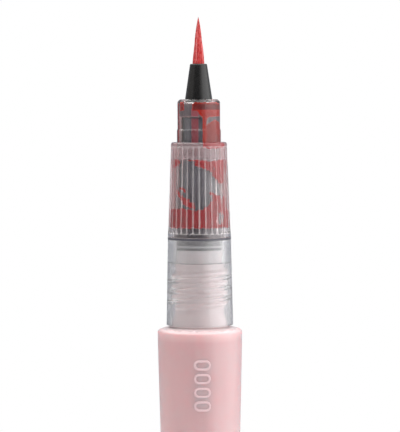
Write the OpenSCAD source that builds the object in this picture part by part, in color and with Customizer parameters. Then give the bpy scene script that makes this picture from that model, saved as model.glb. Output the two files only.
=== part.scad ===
// Squeeze-barrel brush pen with its cap posted on the tail, in millimetres.
// It stands on the cap's closed end, tuft up, with the pen's axis on Z and the origin under that axis.
// The head unscrews from the barrel on a right-hand thread, the cap pulls off the tail,
// the clip springs away from the cap and the tuft bends at the ferrule's mouth.

/* [Tuft and ferrule] */
// Length of tuft that stands out of the ferrule
tuft_len = 7.2; // [5:0.1:12]
// Radius of the tuft at the ferrule's mouth
tuft_r = 0.92; // [0.7:0.01:1.4]
// Length of tuft bound inside the ferrule
tuft_root_len = 3.9; // [2.5:0.1:4.5]
// Height of the visible cone of the ferrule
ferrule_len = 5.45; // [4.8:0.05:8]
// Wall of the ferrule round the tuft at its mouth
ferrule_lip = 0.37; // [0.25:0.01:0.7]
// Wall of the ferrule round the retainer at its base
ferrule_wall = 0.7; // [0.5:0.01:1]
// Width of the step that holds the tuft's collar
collar_step = 0.45; // [0.3:0.01:0.7]

/* [Nose and grip] */
// Height of the clear nose above the grip
nose_len = 6.6; // [5:0.05:9]
// Wall of the clear nose
nose_wall = 0.53; // [0.4:0.01:0.9]
// Height of the grip shell
grip_len = 14.65; // [11:0.05:22]
// Wall of the grip shell
grip_wall = 0.9; // [0.7:0.01:1.3]
// Number of flutes round the grip
flute_count = 30; // [20:1:36]
// Depth of a flute
flute_depth = 0.13; // [0.08:0.01:0.2]

/* [Barrel and neck] */
// Length of the barrel below its rim
barrel_len = 92; // [60:1:120]
// Radius of the barrel at its rim
barrel_r = 6.52; // [6:0.05:9]
// Wall of the soft barrel
barrel_wall = 0.9; // [0.6:0.01:1.2]
// Radius of the neck between its threads
neck_r = 3.8; // [3:0.05:5]
// Height of the neck above the shoulder
neck_len = 9.9; // [8.5:0.05:13]
// Wall of the neck
neck_wall = 0.9; // [0.6:0.01:1.2]
// Height of the thread's crest over the neck
thread_h = 0.55; // [0.3:0.01:0.6]
// Rise of the thread in one turn
thread_pitch = 1.6; // [1.3:0.01:2]
// Wall of the threaded sleeve
sleeve_wall = 0.69; // [0.5:0.01:1]

/* [Cap] */
// How far the tail goes into the posted cap
post_depth = 24; // [15:0.5:30]
// Wall of the cap at its mouth
cap_wall = 1.15; // [0.9:0.01:1.6]
// Height of the end plug
end_plug_h = 4; // [3:0.1:6]
// Length of the clip's free arm
clip_len = 37; // [25:0.5:45]
// Width of the clip
clip_w = 3.4; // [2.4:0.1:5]

/* [Hidden] */
$fn = 96;

// Fits
fit_gap = 0.03;    // between pieces that are pushed together
slide_gap = 0.08;  // between pieces that slide or turn
thread_gap = 0.1;  // between the two threads, crest to root
cut = 0.05;        // how far a cutting shape runs past what it cuts

// Radii, from the tuft outwards
ferrule_bore_r = tuft_r + fit_gap;
ferrule_tip_r = ferrule_bore_r + ferrule_lip;
collar_bore_r = ferrule_bore_r + collar_step;
ferrule_base_r = collar_bore_r + ferrule_wall;
ferrule_flange_r = ferrule_base_r + 0.62;
nose_bore_r = ferrule_flange_r + fit_gap;
nose_r = nose_bore_r + nose_wall;
nose_band_r = nose_r + 0.1;
ink_space = 0.3;   // ink gap between the feed's stem and the nose
stem_r = nose_bore_r - ink_space;
feed_r = stem_r + 0.5;
rod_r = 0.75;
grip_top_r = nose_band_r + fit_gap + grip_wall;

// Radii, from the neck outwards
neck_bore_r = neck_r - neck_wall;
spigot_r = neck_r - 0.3;
sleeve_bore_r = neck_r + thread_h + thread_gap;
sleeve_base_r = sleeve_bore_r + sleeve_wall;
sleeve_top_r = sleeve_base_r - 0.27;
pipe_r = 0.9;
pipe_bore_r = 0.5;

// Radii of the cap, and of the tail that goes into it
cap_bore_r = sleeve_base_r + 0.23;
cap_rib_r = sleeve_base_r + 0.06;
cap_mouth_r = cap_bore_r + cap_wall;
cap_end_r = cap_mouth_r - 0.3;
post_r = cap_rib_r - slide_gap;
tail_r = post_r - 0.35;

// Heights of the head's layers, counted up from the barrel's rim
shoulder_h = 0.4;
sleeve_lift = 0.3;  // gap that shows between the shoulder and the sleeve
spigot_h = 2.05;
seal_t = 0.2;
plug_body_h = 1.3;
flange_t = 0.35;
groove_lift = 0.12; // lip of the plug below its ring's groove
groove_h = 0.3;
groove_d = 0.25;
skirt_h = 1.6;
head_len = shoulder_h + neck_len + spigot_h + fit_gap + seal_t + fit_gap + plug_body_h + flange_t
    + grip_len + nose_len + ferrule_len + tuft_len;
tip_room = 3;
inner_cap_wall = 1;
cap_len = head_len + tip_room + inner_cap_wall + end_plug_h;

// Heights above the origin
tail_z = cap_len - post_depth;
rim_z = tail_z + barrel_len;
shoulder_z = rim_z + shoulder_h;
sleeve_z = shoulder_z + sleeve_lift;
neck_top_z = shoulder_z + neck_len;
ledge_z = neck_top_z + fit_gap;
spigot_z = neck_top_z + spigot_h;
seal_z = spigot_z + fit_gap;
plug_z = seal_z + seal_t + fit_gap;
flange_z = plug_z + plug_body_h;
grip_z = flange_z + flange_t;
skirt_z = grip_z + skirt_h;
grip_top_z = grip_z + grip_len;
nose_top_z = grip_top_z + nose_len;
mouth_z = nose_top_z + ferrule_len;
tip_z = mouth_z + tuft_len;
feed_top_z = grip_top_z - 2.1;
stem_top_z = nose_top_z - 2.8;
ferrule_flange_t = 0.4;
collar_z = mouth_z - tuft_root_len;
collar_t = 0.8;
bend_z = mouth_z + fit_gap + tuft_r;

// Thread
thread_turns = 3.9;
thread_root_w = 0.74 * thread_pitch;
thread_crest_w = 0.5 * thread_pitch;
mate_root_w = 0.4 * thread_pitch; // the sleeve's narrow ridge, which runs in the gap
mate_crest_w = 0.2 * thread_pitch;
thread_z = neck_top_z - thread_root_w / 2 - thread_pitch * thread_turns;
thread_start = 180; // angle at which the neck's thread starts
thread_steps = 40;  // facets in one turn
thread_sink = 0.15; // how deep a thread's foot goes into its wall

// Flutes
flute_margin = 0.6;
flute_w = 2 * PI * (grip_top_r + sleeve_top_r) / 2 / flute_count * 0.94;
flute_r = flute_w * flute_w / (8 * flute_depth) + flute_depth / 2;

// Inner cap and clip
inner_cap_bore_r = nose_band_r + 0.05;
inner_cap_top_z = cap_len - (grip_top_z - rim_z) - fit_gap - 0.5;
clip_root_z = 3.6;
clip_root_h = 3.2;
clip_t = 1.1;
clip_lift = 0.9;    // space between the clip's arm and the cap
clip_play = 0.14;   // room for the clip's root to rock in its pocket
pocket_d = 0.45;

// Radius of the grip's outside at a height
function grip_out(z) = sleeve_top_r + (grip_top_r - sleeve_top_r) * (z - grip_z) / grip_len;
function grip_bore(z) = grip_out(z) - grip_wall;
function sleeve_out(z) =
    sleeve_base_r + (sleeve_top_r - sleeve_base_r) * (z - sleeve_z) / (flange_z - sleeve_z);
function cap_out(z) = cap_end_r + (cap_mouth_r - cap_end_r) * z / cap_len;

// A point of a cubic Bezier curve
function bezier(p, t) =
    p[0] * pow(1 - t, 3) + p[1] * 3 * pow(1 - t, 2) * t + p[2] * 3 * (1 - t) * t * t + p[3] * t * t * t;
// Points of an arc from angle a to angle b, in steps
function arc(x, y, r, a, b, steps = 6) =
    [for (i = [0:steps]) let (t = a + (b - a) * i / steps) [x + r * cos(t), y + r * sin(t)]];

// Outline of the barrel's side from the rim down to the tail, set in by an offset
barrel_free = barrel_len - post_depth;
barrel_curve = [
    [barrel_r, 0], [barrel_r, -0.1 * barrel_free],
    [post_r + 0.26 * (barrel_r - post_r), -0.53 * barrel_free], [post_r, -barrel_free]
];
rim_round = 0.35;
function barrel_side(inset, from_z) = concat(
    [for (i = [0:14]) let (p = bezier(barrel_curve, i / 14), z = rim_z + p[1])
        if (z < from_z) [p[0] - inset, z]],
    [[tail_r - inset, tail_z]]
);

// A solid of revolution from its half outline
module turned(outline) {
    rotate_extrude() polygon(outline);
}

// A tube with straight walls
module tube(r, bore, z, h) {
    turned([[bore, z], [r, z], [r, z + h], [bore, z + h]]);
}

// One ridge of a screw thread, faded in and out over a fifth of a turn at its ends
module thread_ridge(foot_r, crest_r, foot_w, crest_w, z, turns) {
    count = round(turns * thread_steps);
    fade = thread_steps / 5;
    function grown(i) = min(1, (i + 0.4) / fade, (count - i + 0.4) / fade);
    rings = [for (i = [0:count])
        let (a = 360 * i / thread_steps, h = z + thread_pitch * i / thread_steps, g = grown(i),
            root = foot_r + (crest_r > foot_r ? thread_sink : -thread_sink),
            top = root + (crest_r - root) * g, half = crest_w / 2, base = foot_w / 2)
        for (q = [[foot_r, -base], [top, -half], [top, half], [foot_r, base]])
            [q[0] * cos(a), q[0] * sin(a), h + q[1]]];
    flip = crest_r > foot_r;
    function side(a, b, c) = flip ? [a, c, b] : [a, b, c];
    sides = [for (i = [0:count - 1], k = [0:3])
        let (a = 4 * i + k, b = 4 * i + (k + 1) % 4)
        each [side(a, a + 4, b), side(b, a + 4, b + 4)]];
    last = 4 * count;
    ends = [side(0, 1, 2), side(0, 2, 3), side(last, last + 2, last + 1), side(last, last + 3, last + 2)];
    polyhedron(points = rings, faces = concat(sides, ends), convexity = 10);
}

// The part of the tuft that bends, on a round foot
module tuft() {
    steps = 12;
    color("crimson")
        turned(concat(
            arc(0, bend_z, tuft_r, -90, 0, 5),
            [for (i = [1:steps]) let (u = i / steps)
                [max(0.04, tuft_r * pow(1 - u, 0.72)), bend_z + (tip_z - bend_z) * u]],
            [[0, tip_z]]
        ));
}

// The bound part of the tuft inside the ferrule
module tuft_root() {
    color("firebrick")
        translate([0, 0, collar_z + fit_gap])
            cylinder(r = tuft_r, h = mouth_z - collar_z - 2 * fit_gap);
}

// The melted foot of the filaments
module tuft_collar() {
    color("maroon")
        translate([0, 0, collar_z - collar_t])
            cylinder(r = collar_bore_r - fit_gap, h = collar_t);
}

// Bush that holds the collar against the ferrule's step
module tuft_retainer() {
    foot_z = stem_top_z + fit_gap;
    color("dimgray")
        tube(collar_bore_r - fit_gap, rod_r + fit_gap, foot_z, collar_z - collar_t - fit_gap - foot_z);
}

// Black cone that carries the tuft, with a flange inside the nose
module ferrule() {
    flange_top_z = stem_top_z + fit_gap + ferrule_flange_t;
    edge = 0.12;
    color("black")
        turned([
            [ferrule_bore_r, mouth_z], [ferrule_tip_r - edge, mouth_z], [ferrule_tip_r, mouth_z - edge],
            [ferrule_base_r, nose_top_z], [ferrule_base_r, flange_top_z], [ferrule_flange_r, flange_top_z],
            [ferrule_flange_r, stem_top_z + fit_gap], [collar_bore_r, stem_top_z + fit_gap],
            [collar_bore_r, collar_z], [ferrule_bore_r, collar_z]
        ]);
}

// Clear nose with a rounded top, and a skirt that is pushed into the grip shell
module nose_sleeve() {
    top_wall = 0.6;
    band_h = 2;
    round_r = 0.6;
    skirt_foot_z = feed_top_z + fit_gap;
    color("mistyrose")
        turned(concat(
            [[ferrule_base_r + fit_gap, nose_top_z - top_wall], [ferrule_base_r + fit_gap, nose_top_z]],
            arc(nose_r - round_r, nose_top_z - round_r, round_r, 90, 0),
            [[nose_r, grip_top_z + band_h], [nose_band_r - 0.02, grip_top_z + band_h - 0.06],
                [nose_band_r, skirt_foot_z], [nose_bore_r, skirt_foot_z],
                [nose_bore_r, nose_top_z - top_wall]]
        ));
}

// One flute: a long scoop with round ends, laid along the tapered wall
module flute() {
    low_z = grip_z + flute_margin + flute_w / 2;
    high_z = grip_top_z - flute_margin - flute_w / 2;
    lean = atan((grip_out(low_z) - grip_out(high_z)) / (high_z - low_z));
    length = (high_z - low_z) / cos(lean);
    translate([grip_out(low_z) + flute_r - flute_depth, 0, low_z])
        rotate([0, -lean, 0]) {
            cylinder(r = flute_r, h = length);
            sphere(r = flute_r);
            translate([0, 0, length]) sphere(r = flute_r);
        }
}

// Clear fluted shell that the fingers hold
module grip_shell() {
    round_r = 0.3;
    shelf_z = feed_top_z - 0.6;
    color("lavenderblush")
        difference() {
            turned(concat(
                [[grip_bore(grip_z), grip_z], [grip_out(grip_z), grip_z]],
                arc(grip_top_r - round_r, grip_top_z - round_r, round_r, 0, 90),
                [[nose_band_r + fit_gap, grip_top_z], [nose_band_r + fit_gap, shelf_z],
                    [grip_bore(shelf_z) - 0.06, shelf_z - 0.3]]
            ));
            for (i = [0:flute_count - 1])
                rotate([0, 0, 360 * i / flute_count]) flute();
        }
}

// Dark feed that fills the middle of the grip, with ink channels along it
module feed_body() {
    channel_w = 0.3;
    channel_d = 0.5;
    channels = 4;
    color("darkslategray")
        difference() {
            turned([
                [rod_r + fit_gap, skirt_z + fit_gap], [feed_r, skirt_z + fit_gap], [feed_r, feed_top_z - 0.3],
                [feed_r - 0.3, feed_top_z], [stem_r, feed_top_z], [stem_r, stem_top_z],
                [rod_r + fit_gap, stem_top_z]
            ]);
            for (i = [0:channels - 1])
                rotate([0, 0, 45 + 360 * i / channels])
                    translate([feed_r - channel_d, -channel_w / 2, skirt_z - cut])
                        cube([channel_d + cut, channel_w, feed_top_z - skirt_z + 2 * cut]);
        }
}

// Fibre rod that carries ink from the plug to the tuft
module feed_rod() {
    color("indianred")
        translate([0, 0, flange_z])
            cylinder(r = rod_r, h = collar_z - collar_t - fit_gap - flange_z);
}

// Dark plug between the grip shell and the threaded sleeve, with the ring that shows outside
module feed_plug() {
    groove_z = plug_z + groove_lift;
    skirt_r = grip_bore(skirt_z) - fit_gap;
    color("darkslateblue")
        turned([
            [pipe_r + fit_gap, plug_z], [spigot_r, plug_z], [spigot_r, groove_z],
            [spigot_r - groove_d, groove_z], [spigot_r - groove_d, groove_z + groove_h],
            [spigot_r, groove_z + groove_h], [spigot_r, flange_z],
            [sleeve_top_r + 0.02, flange_z], [sleeve_top_r + 0.02, grip_z], [skirt_r, grip_z],
            [skirt_r, skirt_z], [rod_r + fit_gap, skirt_z], [rod_r + fit_gap, flange_z - fit_gap],
            [pipe_r + fit_gap, flange_z - fit_gap]
        ]);
}

// Pale ring in the plug's groove
module plug_seal() {
    color("whitesmoke")
        tube(spigot_r + fit_gap, spigot_r - groove_d + fit_gap, plug_z + groove_lift + fit_gap,
            groove_h - 2 * fit_gap);
}

// Thin pipe that takes ink up out of the barrel
module intake_pipe() {
    pipe_len = 8.5;
    color("gainsboro")
        tube(pipe_r, pipe_bore_r, flange_z - fit_gap - pipe_len, pipe_len - fit_gap);
}

// Clear sleeve that screws onto the neck
module thread_sleeve() {
    mouth_round = 0.15;
    turns = 3.4;
    low_z = sleeve_z + 2.6 + mate_root_w / 2;
    // The ridge starts half a pitch away from the neck's own thread
    phase = (low_z - thread_z) / thread_pitch - 0.5;
    color("aliceblue")
        union() {
            turned([
                [sleeve_bore_r, sleeve_z], [sleeve_base_r - mouth_round, sleeve_z],
                [sleeve_base_r, sleeve_z + mouth_round], [sleeve_top_r, flange_z],
                [spigot_r + slide_gap, flange_z], [spigot_r + slide_gap, ledge_z], [sleeve_bore_r, ledge_z]
            ]);
            rotate([0, 0, thread_start + 360 * phase])
                thread_ridge(sleeve_bore_r + thread_sink, neck_r + thread_gap,
                    mate_root_w, mate_crest_w, low_z, turns);
        }
}

// Rubber washer between the neck insert and the plug
module neck_seal() {
    color("midnightblue")
        tube(spigot_r - fit_gap, pipe_r + slide_gap, seal_z, seal_t);
}

// A flat shape with round ends, lying along X and pulled out along Y to below zero
module pill(w, h, depth) {
    rotate([90, 0, 0]) {
        for (x = [-1, 1])
            translate([x * (w - h) / 2, 0, 0]) cylinder(r = h / 2, h = depth);
        translate([-(w - h) / 2, -h / 2, 0]) cube([w - h, h, depth]);
    }
}

// Raised rings on one side of the barrel that show where to squeeze
module squeeze_marks() {
    mark_w = 2.6;
    mark_h = 1.6;
    mark_line = 0.36;
    mark_step = 2.1;
    mark_lift = 0.12;
    mark_turn = 3;
    first_z = rim_z - 4.95;
    intersection() {
        rotate([0, 0, mark_turn])
            for (i = [0:3])
                translate([0, 0, first_z - mark_step * i])
                    difference() {
                        pill(mark_w, mark_h, barrel_r + 1);
                        translate([0, cut, 0])
                            pill(mark_w - 2 * mark_line, mark_h - 2 * mark_line, barrel_r + 1 + 2 * cut);
                    }
        turned(concat(
            [[barrel_r - 0.6, rim_z], [barrel_r + mark_lift, rim_z]],
            barrel_side(-mark_lift, rim_z),
            [[tail_r - 0.6, tail_z]]
        ));
    }
}

// Soft barrel that is squeezed to feed ink, with a threaded neck
module barrel() {
    flare_h = 2.2;
    flare_r = 0.55;
    inner_rim_z = rim_z - barrel_wall;
    color("pink")
        union() {
            difference() {
                turned(concat(
                    [[0, neck_top_z], [neck_r - 0.12, neck_top_z], [neck_r, neck_top_z - 0.12],
                        [neck_r, shoulder_z + flare_h]],
                    [for (i = [1:5]) let (u = i / 5)
                        [neck_r + flare_r * pow(u, 2.4), shoulder_z + flare_h + (0.08 - flare_h) * u]],
                    [[neck_r + flare_r + 0.3, shoulder_z],
                        [barrel_r - 0.75, rim_z + 0.2]],
                    arc(barrel_r - rim_round, rim_z - rim_round + 0.03, rim_round, 75, 0),
                    barrel_side(0, rim_z - 1),
                    [[0, tail_z]]
                ));
                turned(concat(
                    [[0, neck_top_z + cut], [neck_bore_r, neck_top_z + cut],
                        [neck_bore_r, inner_rim_z + 0.4], [barrel_r - barrel_wall - 0.9, inner_rim_z],
                        [barrel_r - barrel_wall - 0.3, inner_rim_z - 0.3]],
                    barrel_side(barrel_wall, inner_rim_z - 1),
                    [[tail_r - barrel_wall, tail_z - cut], [0, tail_z - cut]]
                ));
            }
            rotate([0, 0, thread_start])
                thread_ridge(neck_r - thread_sink, neck_r + thread_h, thread_root_w, thread_crest_w,
                    thread_z, thread_turns);
            for (a = [0, 180])
                rotate([0, 0, a])
                    difference() {
                        squeeze_marks();
                        turned(concat(
                            [[0, rim_z + cut], [barrel_r - barrel_wall / 2, rim_z + cut]],
                            barrel_side(barrel_wall / 2, rim_z),
                            [[0, tail_z]]
                        ));
                    }
        }
}

// Pale stopper in the neck, with a spigot that meets the seal
module neck_insert() {
    stopper_h = 3;
    wall = 0.7;
    hole_r = pipe_r + slide_gap;
    color("white")
        turned([
            [hole_r, spigot_z], [spigot_r, spigot_z], [spigot_r, neck_top_z + fit_gap],
            [neck_bore_r - fit_gap, neck_top_z + fit_gap], [neck_bore_r - fit_gap, neck_top_z - stopper_h],
            [neck_bore_r - wall, neck_top_z - stopper_h], [neck_bore_r - wall, neck_top_z - wall],
            [hole_r, neck_top_z - wall]
        ]);
}

// Plug that closes the barrel's tail
module tail_plug() {
    disc_t = 1.2;
    plug_h = 4;
    plug_r = tail_r - barrel_wall - fit_gap;
    color("palevioletred")
        turned([
            [0, tail_z - disc_t - fit_gap], [tail_r - 0.35, tail_z - disc_t - fit_gap],
            [tail_r, tail_z - disc_t - fit_gap + 0.35], [tail_r, tail_z - fit_gap], [plug_r, tail_z - fit_gap],
            [plug_r, tail_z + plug_h - 0.3], [plug_r - 0.3, tail_z + plug_h], [plug_r - 1, tail_z + plug_h],
            [plug_r - 1, tail_z + disc_t], [0, tail_z + disc_t]
        ]);
}

// Outer shell of the cap, open at its mouth and closed by the end plug
module cap_shell() {
    flange_h = 1.2;
    rib_len = 11;
    rib_w = 0.8;
    ribs = 6;
    pocket_w = clip_w - 0.6 + 2 * clip_play;
    color("lightpink")
        difference() {
            union() {
                turned([
                    [cap_bore_r, flange_h + fit_gap], [cap_out(flange_h), flange_h + fit_gap],
                    [cap_mouth_r, cap_len - 0.2], [cap_mouth_r - 0.2, cap_len], [cap_bore_r + 0.25, cap_len],
                    [cap_bore_r, cap_len - 0.25]
                ]);
                intersection() {
                    tube(cap_bore_r + cut, cap_rib_r, cap_len - 1 - rib_len, rib_len);
                    for (i = [0:ribs - 1])
                        rotate([0, 0, 30 + 360 * i / ribs])
                            translate([0, -rib_w / 2, cap_len - 2 - rib_len])
                                cube([cap_mouth_r, rib_w, rib_len + 2]);
                }
            }
            translate([cap_out(clip_root_z) - pocket_d - clip_play, -pocket_w / 2, clip_root_z - clip_play])
                cube([cap_wall + 2, pocket_w, clip_root_h + 2 * clip_play]);
        }
}

// Soft cup inside the cap that seals round the nose
module inner_cap() {
    foot_z = end_plug_h + fit_gap;
    wall = 0.7;
    color("white")
        turned([
            [0, foot_z], [cap_bore_r - fit_gap, foot_z], [cap_bore_r - fit_gap, foot_z + 1.6],
            [cap_bore_r - 0.6, foot_z + 1.6], [cap_bore_r - 0.6, foot_z + inner_cap_wall],
            [inner_cap_bore_r + wall, foot_z + inner_cap_wall], [inner_cap_bore_r + wall, inner_cap_top_z - 0.4],
            [inner_cap_bore_r + wall - 0.3, inner_cap_top_z], [inner_cap_bore_r + 0.2, inner_cap_top_z],
            [inner_cap_bore_r, inner_cap_top_z - 0.4], [inner_cap_bore_r, foot_z + inner_cap_wall],
            [0, foot_z + inner_cap_wall]
        ]);
}

// Coloured plug that closes the cap, with the flat face that the pen stands on
module cap_end_plug() {
    flange_h = 1.2;
    edge = 0.4;
    r = cap_out(0);
    spigot = cap_bore_r - fit_gap;
    color("crimson")
        turned([
            [0, 0], [r - edge, 0], [r, edge], [r, flange_h], [spigot, flange_h], [spigot, end_plug_h],
            [spigot - 1, end_plug_h], [spigot - 1, flange_h], [0, flange_h]
        ]);
}

// Sprung clip, with its root in the cap's pocket
module clip() {
    root_x = cap_out(clip_root_z) - pocket_d;
    arm_x = cap_mouth_r + clip_lift;
    top_z = clip_root_z + clip_len;
    bead_r = 0.75;
    root_w = clip_w - 0.6;
    color("lightpink") {
        translate([root_x, -root_w / 2, clip_root_z])
            cube([arm_x + clip_t / 2 - root_x, root_w, clip_root_h]);
        translate([arm_x, -clip_w / 2, clip_root_z]) cube([clip_t, clip_w, clip_len - clip_w / 2]);
        translate([arm_x, 0, top_z - clip_w / 2])
            rotate([0, 90, 0]) cylinder(r = clip_w / 2, h = clip_t);
        translate([arm_x + 0.1, 0, top_z - clip_w / 2]) sphere(r = bead_r);
    }
}

tuft();
tuft_root();
tuft_collar();
tuft_retainer();
ferrule();
nose_sleeve();
grip_shell();
feed_body();
feed_rod();
feed_plug();
plug_seal();
intake_pipe();
thread_sleeve();
neck_seal();
barrel();
neck_insert();
tail_plug();
cap_shell();
inner_cap();
cap_end_plug();
clip();
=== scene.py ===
"""Finished pieces of a squeeze-barrel brush pen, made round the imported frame."""

import logging
import math
from dataclasses import dataclass, field
from enum import Enum
from typing import Callable, Optional, Sequence

import bpy
import numpy as np
from mathutils import Matrix, Vector


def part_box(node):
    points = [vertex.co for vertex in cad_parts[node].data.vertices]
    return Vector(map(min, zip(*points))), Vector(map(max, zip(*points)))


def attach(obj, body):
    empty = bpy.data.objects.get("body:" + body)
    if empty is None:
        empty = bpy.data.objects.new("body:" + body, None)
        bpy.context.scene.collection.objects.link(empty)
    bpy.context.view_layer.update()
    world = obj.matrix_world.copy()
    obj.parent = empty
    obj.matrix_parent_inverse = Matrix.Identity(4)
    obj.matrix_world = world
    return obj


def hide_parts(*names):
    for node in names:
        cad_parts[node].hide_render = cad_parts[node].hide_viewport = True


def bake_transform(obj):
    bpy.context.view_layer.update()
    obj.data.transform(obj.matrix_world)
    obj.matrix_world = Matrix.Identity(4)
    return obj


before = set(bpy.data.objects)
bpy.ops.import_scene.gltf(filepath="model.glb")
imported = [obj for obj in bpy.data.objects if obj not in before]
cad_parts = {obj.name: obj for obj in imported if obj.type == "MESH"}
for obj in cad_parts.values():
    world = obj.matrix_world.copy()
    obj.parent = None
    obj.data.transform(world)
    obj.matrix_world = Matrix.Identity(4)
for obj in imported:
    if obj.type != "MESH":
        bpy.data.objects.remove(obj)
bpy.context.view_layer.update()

log = logging.getLogger("brush_pen")

MM = 0.001
TURN = 2 * math.pi
LOW, HIGH = 0, 1
RIM_DROP = 0.7  # the barrel's rim lies this far below the sleeve

Colour = tuple[float, float, float, float]
Corners = Sequence[Sequence[float]]
Mesh = tuple[np.ndarray, list]
Wall = Callable[[np.ndarray], np.ndarray]
Relief = Callable[[np.ndarray, np.ndarray, np.ndarray], np.ndarray]
Socket = bpy.types.NodeSocket


# ---------------------------------------------------------------- shapes


def node_z(node: str, end: int) -> float:
    """Height of a CAD node's LOW or HIGH end, in millimetres."""
    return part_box(node)[end][2] / MM


def read_z(node: str, end: int) -> float:
    """A dataclass field that is read from a CAD node's LOW or HIGH end."""
    return field(default_factory=lambda: node_z(node, end))


def around(r: np.ndarray, angle: np.ndarray, z: np.ndarray) -> np.ndarray:
    """Points at a radius and an angle round the axis, and at a height."""
    return np.stack([r * np.cos(angle), r * np.sin(angle), z], axis=-1)


def side_by_side(r: np.ndarray, z: np.ndarray) -> np.ndarray:
    """An outline's points from their radii and heights."""
    return np.stack([r, z], axis=-1)


def arc(r: float, z: float, radius: float, start: float, stop: float, count: int) -> np.ndarray:
    """A round corner's points about the middle (r, z), from a start angle to a stop angle."""
    turn = np.linspace(start, stop, count)
    return side_by_side(r + radius * np.cos(turn), z + radius * np.sin(turn))


def grid_faces(rows: int, cols: int, wrap_rows: bool, wrap_cols: bool) -> np.ndarray:
    """Quads of a grid whose point (i, j) has number i * cols + j.

    Args:
        rows: number of rows of points.
        cols: number of points in a row.
        wrap_rows: joins the last row to the first.
        wrap_cols: joins the last point of a row to its first.

    Returns:
        An array of four point numbers for each quad.
    """
    i = np.arange(rows if wrap_rows else rows - 1)[:, None]
    j = np.arange(cols if wrap_cols else cols - 1)[None, :]
    right, down = (j + 1) % cols, (i + 1) % rows
    corners = [i * cols + j, i * cols + right, down * cols + right, down * cols + j]
    return np.stack([np.broadcast_to(c, (i.size, j.size)) for c in corners], axis=-1).reshape(-1, 4)


def eased(outline: Corners, radius: float, closed: bool = True) -> np.ndarray:
    """Rounds the sharp corners of a half outline.

    Each corner C becomes the curve (1-t)^2 A + 2t(1-t) C + t^2 B, where A and B lie on the two edges,
    a radius away from C or under half the edge's length. One more point on each edge, a little past
    A and B, keeps the shading of the flat flat.

    Args:
        outline: points (radius, height) in millimetres.
        radius: how far the rounding reaches along each edge.
        closed: whether the last point joins the first.

    Returns:
        The points of the rounded outline.
    """
    smooth_turn, same_point = 25, 1e-5
    corner = np.asarray(outline, dtype=float)
    edges = [np.roll(corner, shift, axis=0) - corner for shift in (1, -1)]
    lengths = [np.linalg.norm(edge, axis=1) for edge in edges]
    units = [edge / length[:, None] for edge, length in zip(edges, lengths)]
    turn = np.degrees(np.arccos(np.clip(-(units[0] * units[1]).sum(axis=1), -1, 1)))
    sharp = turn > smooth_turn
    if not closed:
        sharp[0] = sharp[-1] = False
    (first, last), (before, after) = [
        [corner + unit * (sharp * np.minimum(reach, part * length))[:, None]
         for unit, length in zip(units, lengths)]
        for reach, part in ((radius, 0.42), (radius * 1.5, 0.46))]
    t = np.array([0, 0.2, 0.4, 0.6, 0.8, 1.0])[None, :, None]
    curve = (1 - t) ** 2 * first[:, None] + 2 * t * (1 - t) * corner[:, None] + t**2 * last[:, None]
    points = np.concatenate([before[:, None], curve, after[:, None]], axis=1).reshape(-1, 2)
    keep = np.linalg.norm(points - np.roll(points, 1, axis=0), axis=1) > same_point
    if not closed:
        keep[0] = True
    return points[keep]


def filled(outline: np.ndarray, step: float, closed: bool = True) -> np.ndarray:
    """Adds points along an outline so that none of its edges is longer than a step.

    Args:
        outline: points (radius, height) in millimetres.
        step: longest edge allowed.
        closed: whether the last point joins the first.

    Returns:
        The denser outline.
    """
    ends = np.roll(outline, -1, axis=0) if closed else outline[1:]
    starts = outline if closed else outline[:-1]
    counts = np.maximum(1, np.ceil(np.linalg.norm(ends - starts, axis=1) / step).astype(int))
    which = np.repeat(np.arange(len(counts)), counts)
    part = (np.arange(len(which)) - np.repeat(np.cumsum(counts) - counts, counts)) / counts[which]
    points = starts[which] + (ends - starts)[which] * part[:, None]
    return points if closed else np.vstack([points, outline[-1:]])


def turned_mesh(outline: np.ndarray, cols: int, closed: bool = True,
                relief: Optional[Relief] = None) -> Mesh:
    """A solid of revolution: point (i, j) is (r_i cos a_j, r_i sin a_j, z_i), with a_j = 2 pi j / cols.

    A relief adds relief(a_j, r_i, z_i) to the radius. An open outline starts and ends on the axis,
    where it gets one pole point at each end.

    Args:
        outline: points (radius, height), counter-clockwise with the radius to the right.
        cols: number of points round the axis.
        closed: whether the outline is a ring that stays clear of the axis.
        relief: change of radius over the surface.

    Returns:
        The points and the faces.
    """
    rows = outline if closed else outline[1:-1]
    angle = np.arange(cols)[None, :] * TURN / cols
    r, z = rows[:, :1], rows[:, 1:]
    radius = r + (relief(angle, r, z) if relief else 0.0 * angle)
    points = around(radius, angle, np.broadcast_to(z, radius.shape)).reshape(-1, 3)
    faces = grid_faces(len(rows), cols, closed, True).tolist()
    if not closed:
        first, last = len(points), len(points) + 1
        ends = np.array([[0, 0, outline[0, 1]], [0, 0, outline[-1, 1]]])
        points = np.vstack([points, ends])
        j = np.arange(cols)
        after, top = (j + 1) % cols, (len(rows) - 1) * cols
        faces += np.stack([np.full(cols, first), after, j], axis=1).tolist()
        faces += np.stack([np.full(cols, last), top + j, top + after], axis=1).tolist()
    return points, faces


def tubes_mesh(paths: np.ndarray, radii: np.ndarray, sides: int) -> Mesh:
    """Closed tapering tubes along paths: ring k of a tube is path_k + radius_k (cos b U + sin b V).

    U and V are level and upright directions across the path, which suits paths that run mostly upwards.

    Args:
        paths: points of each path, as (tube, ring, 3).
        radii: radius at each point of each path, as (tube, ring).
        sides: number of points in a ring.

    Returns:
        The points and the faces.
    """
    tubes, rings, _ = paths.shape
    angle = np.arange(sides) * TURN / sides
    circle = around(1.0, angle, np.zeros(sides))
    points = paths[:, :, None, :] + radii[:, :, None, None] * circle[None, None]
    ring_faces = grid_faces(rings, sides, False, True)
    base = (np.arange(tubes) * rings * sides)[:, None, None]
    faces = (ring_faces[None] + base).reshape(-1, 4).tolist()
    low = (np.arange(sides)[::-1][None] + base[:, 0]).tolist()
    high = (np.arange(sides)[None] + (rings - 1) * sides + base[:, 0]).tolist()
    return points.reshape(-1, 3), faces + low + high


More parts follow.
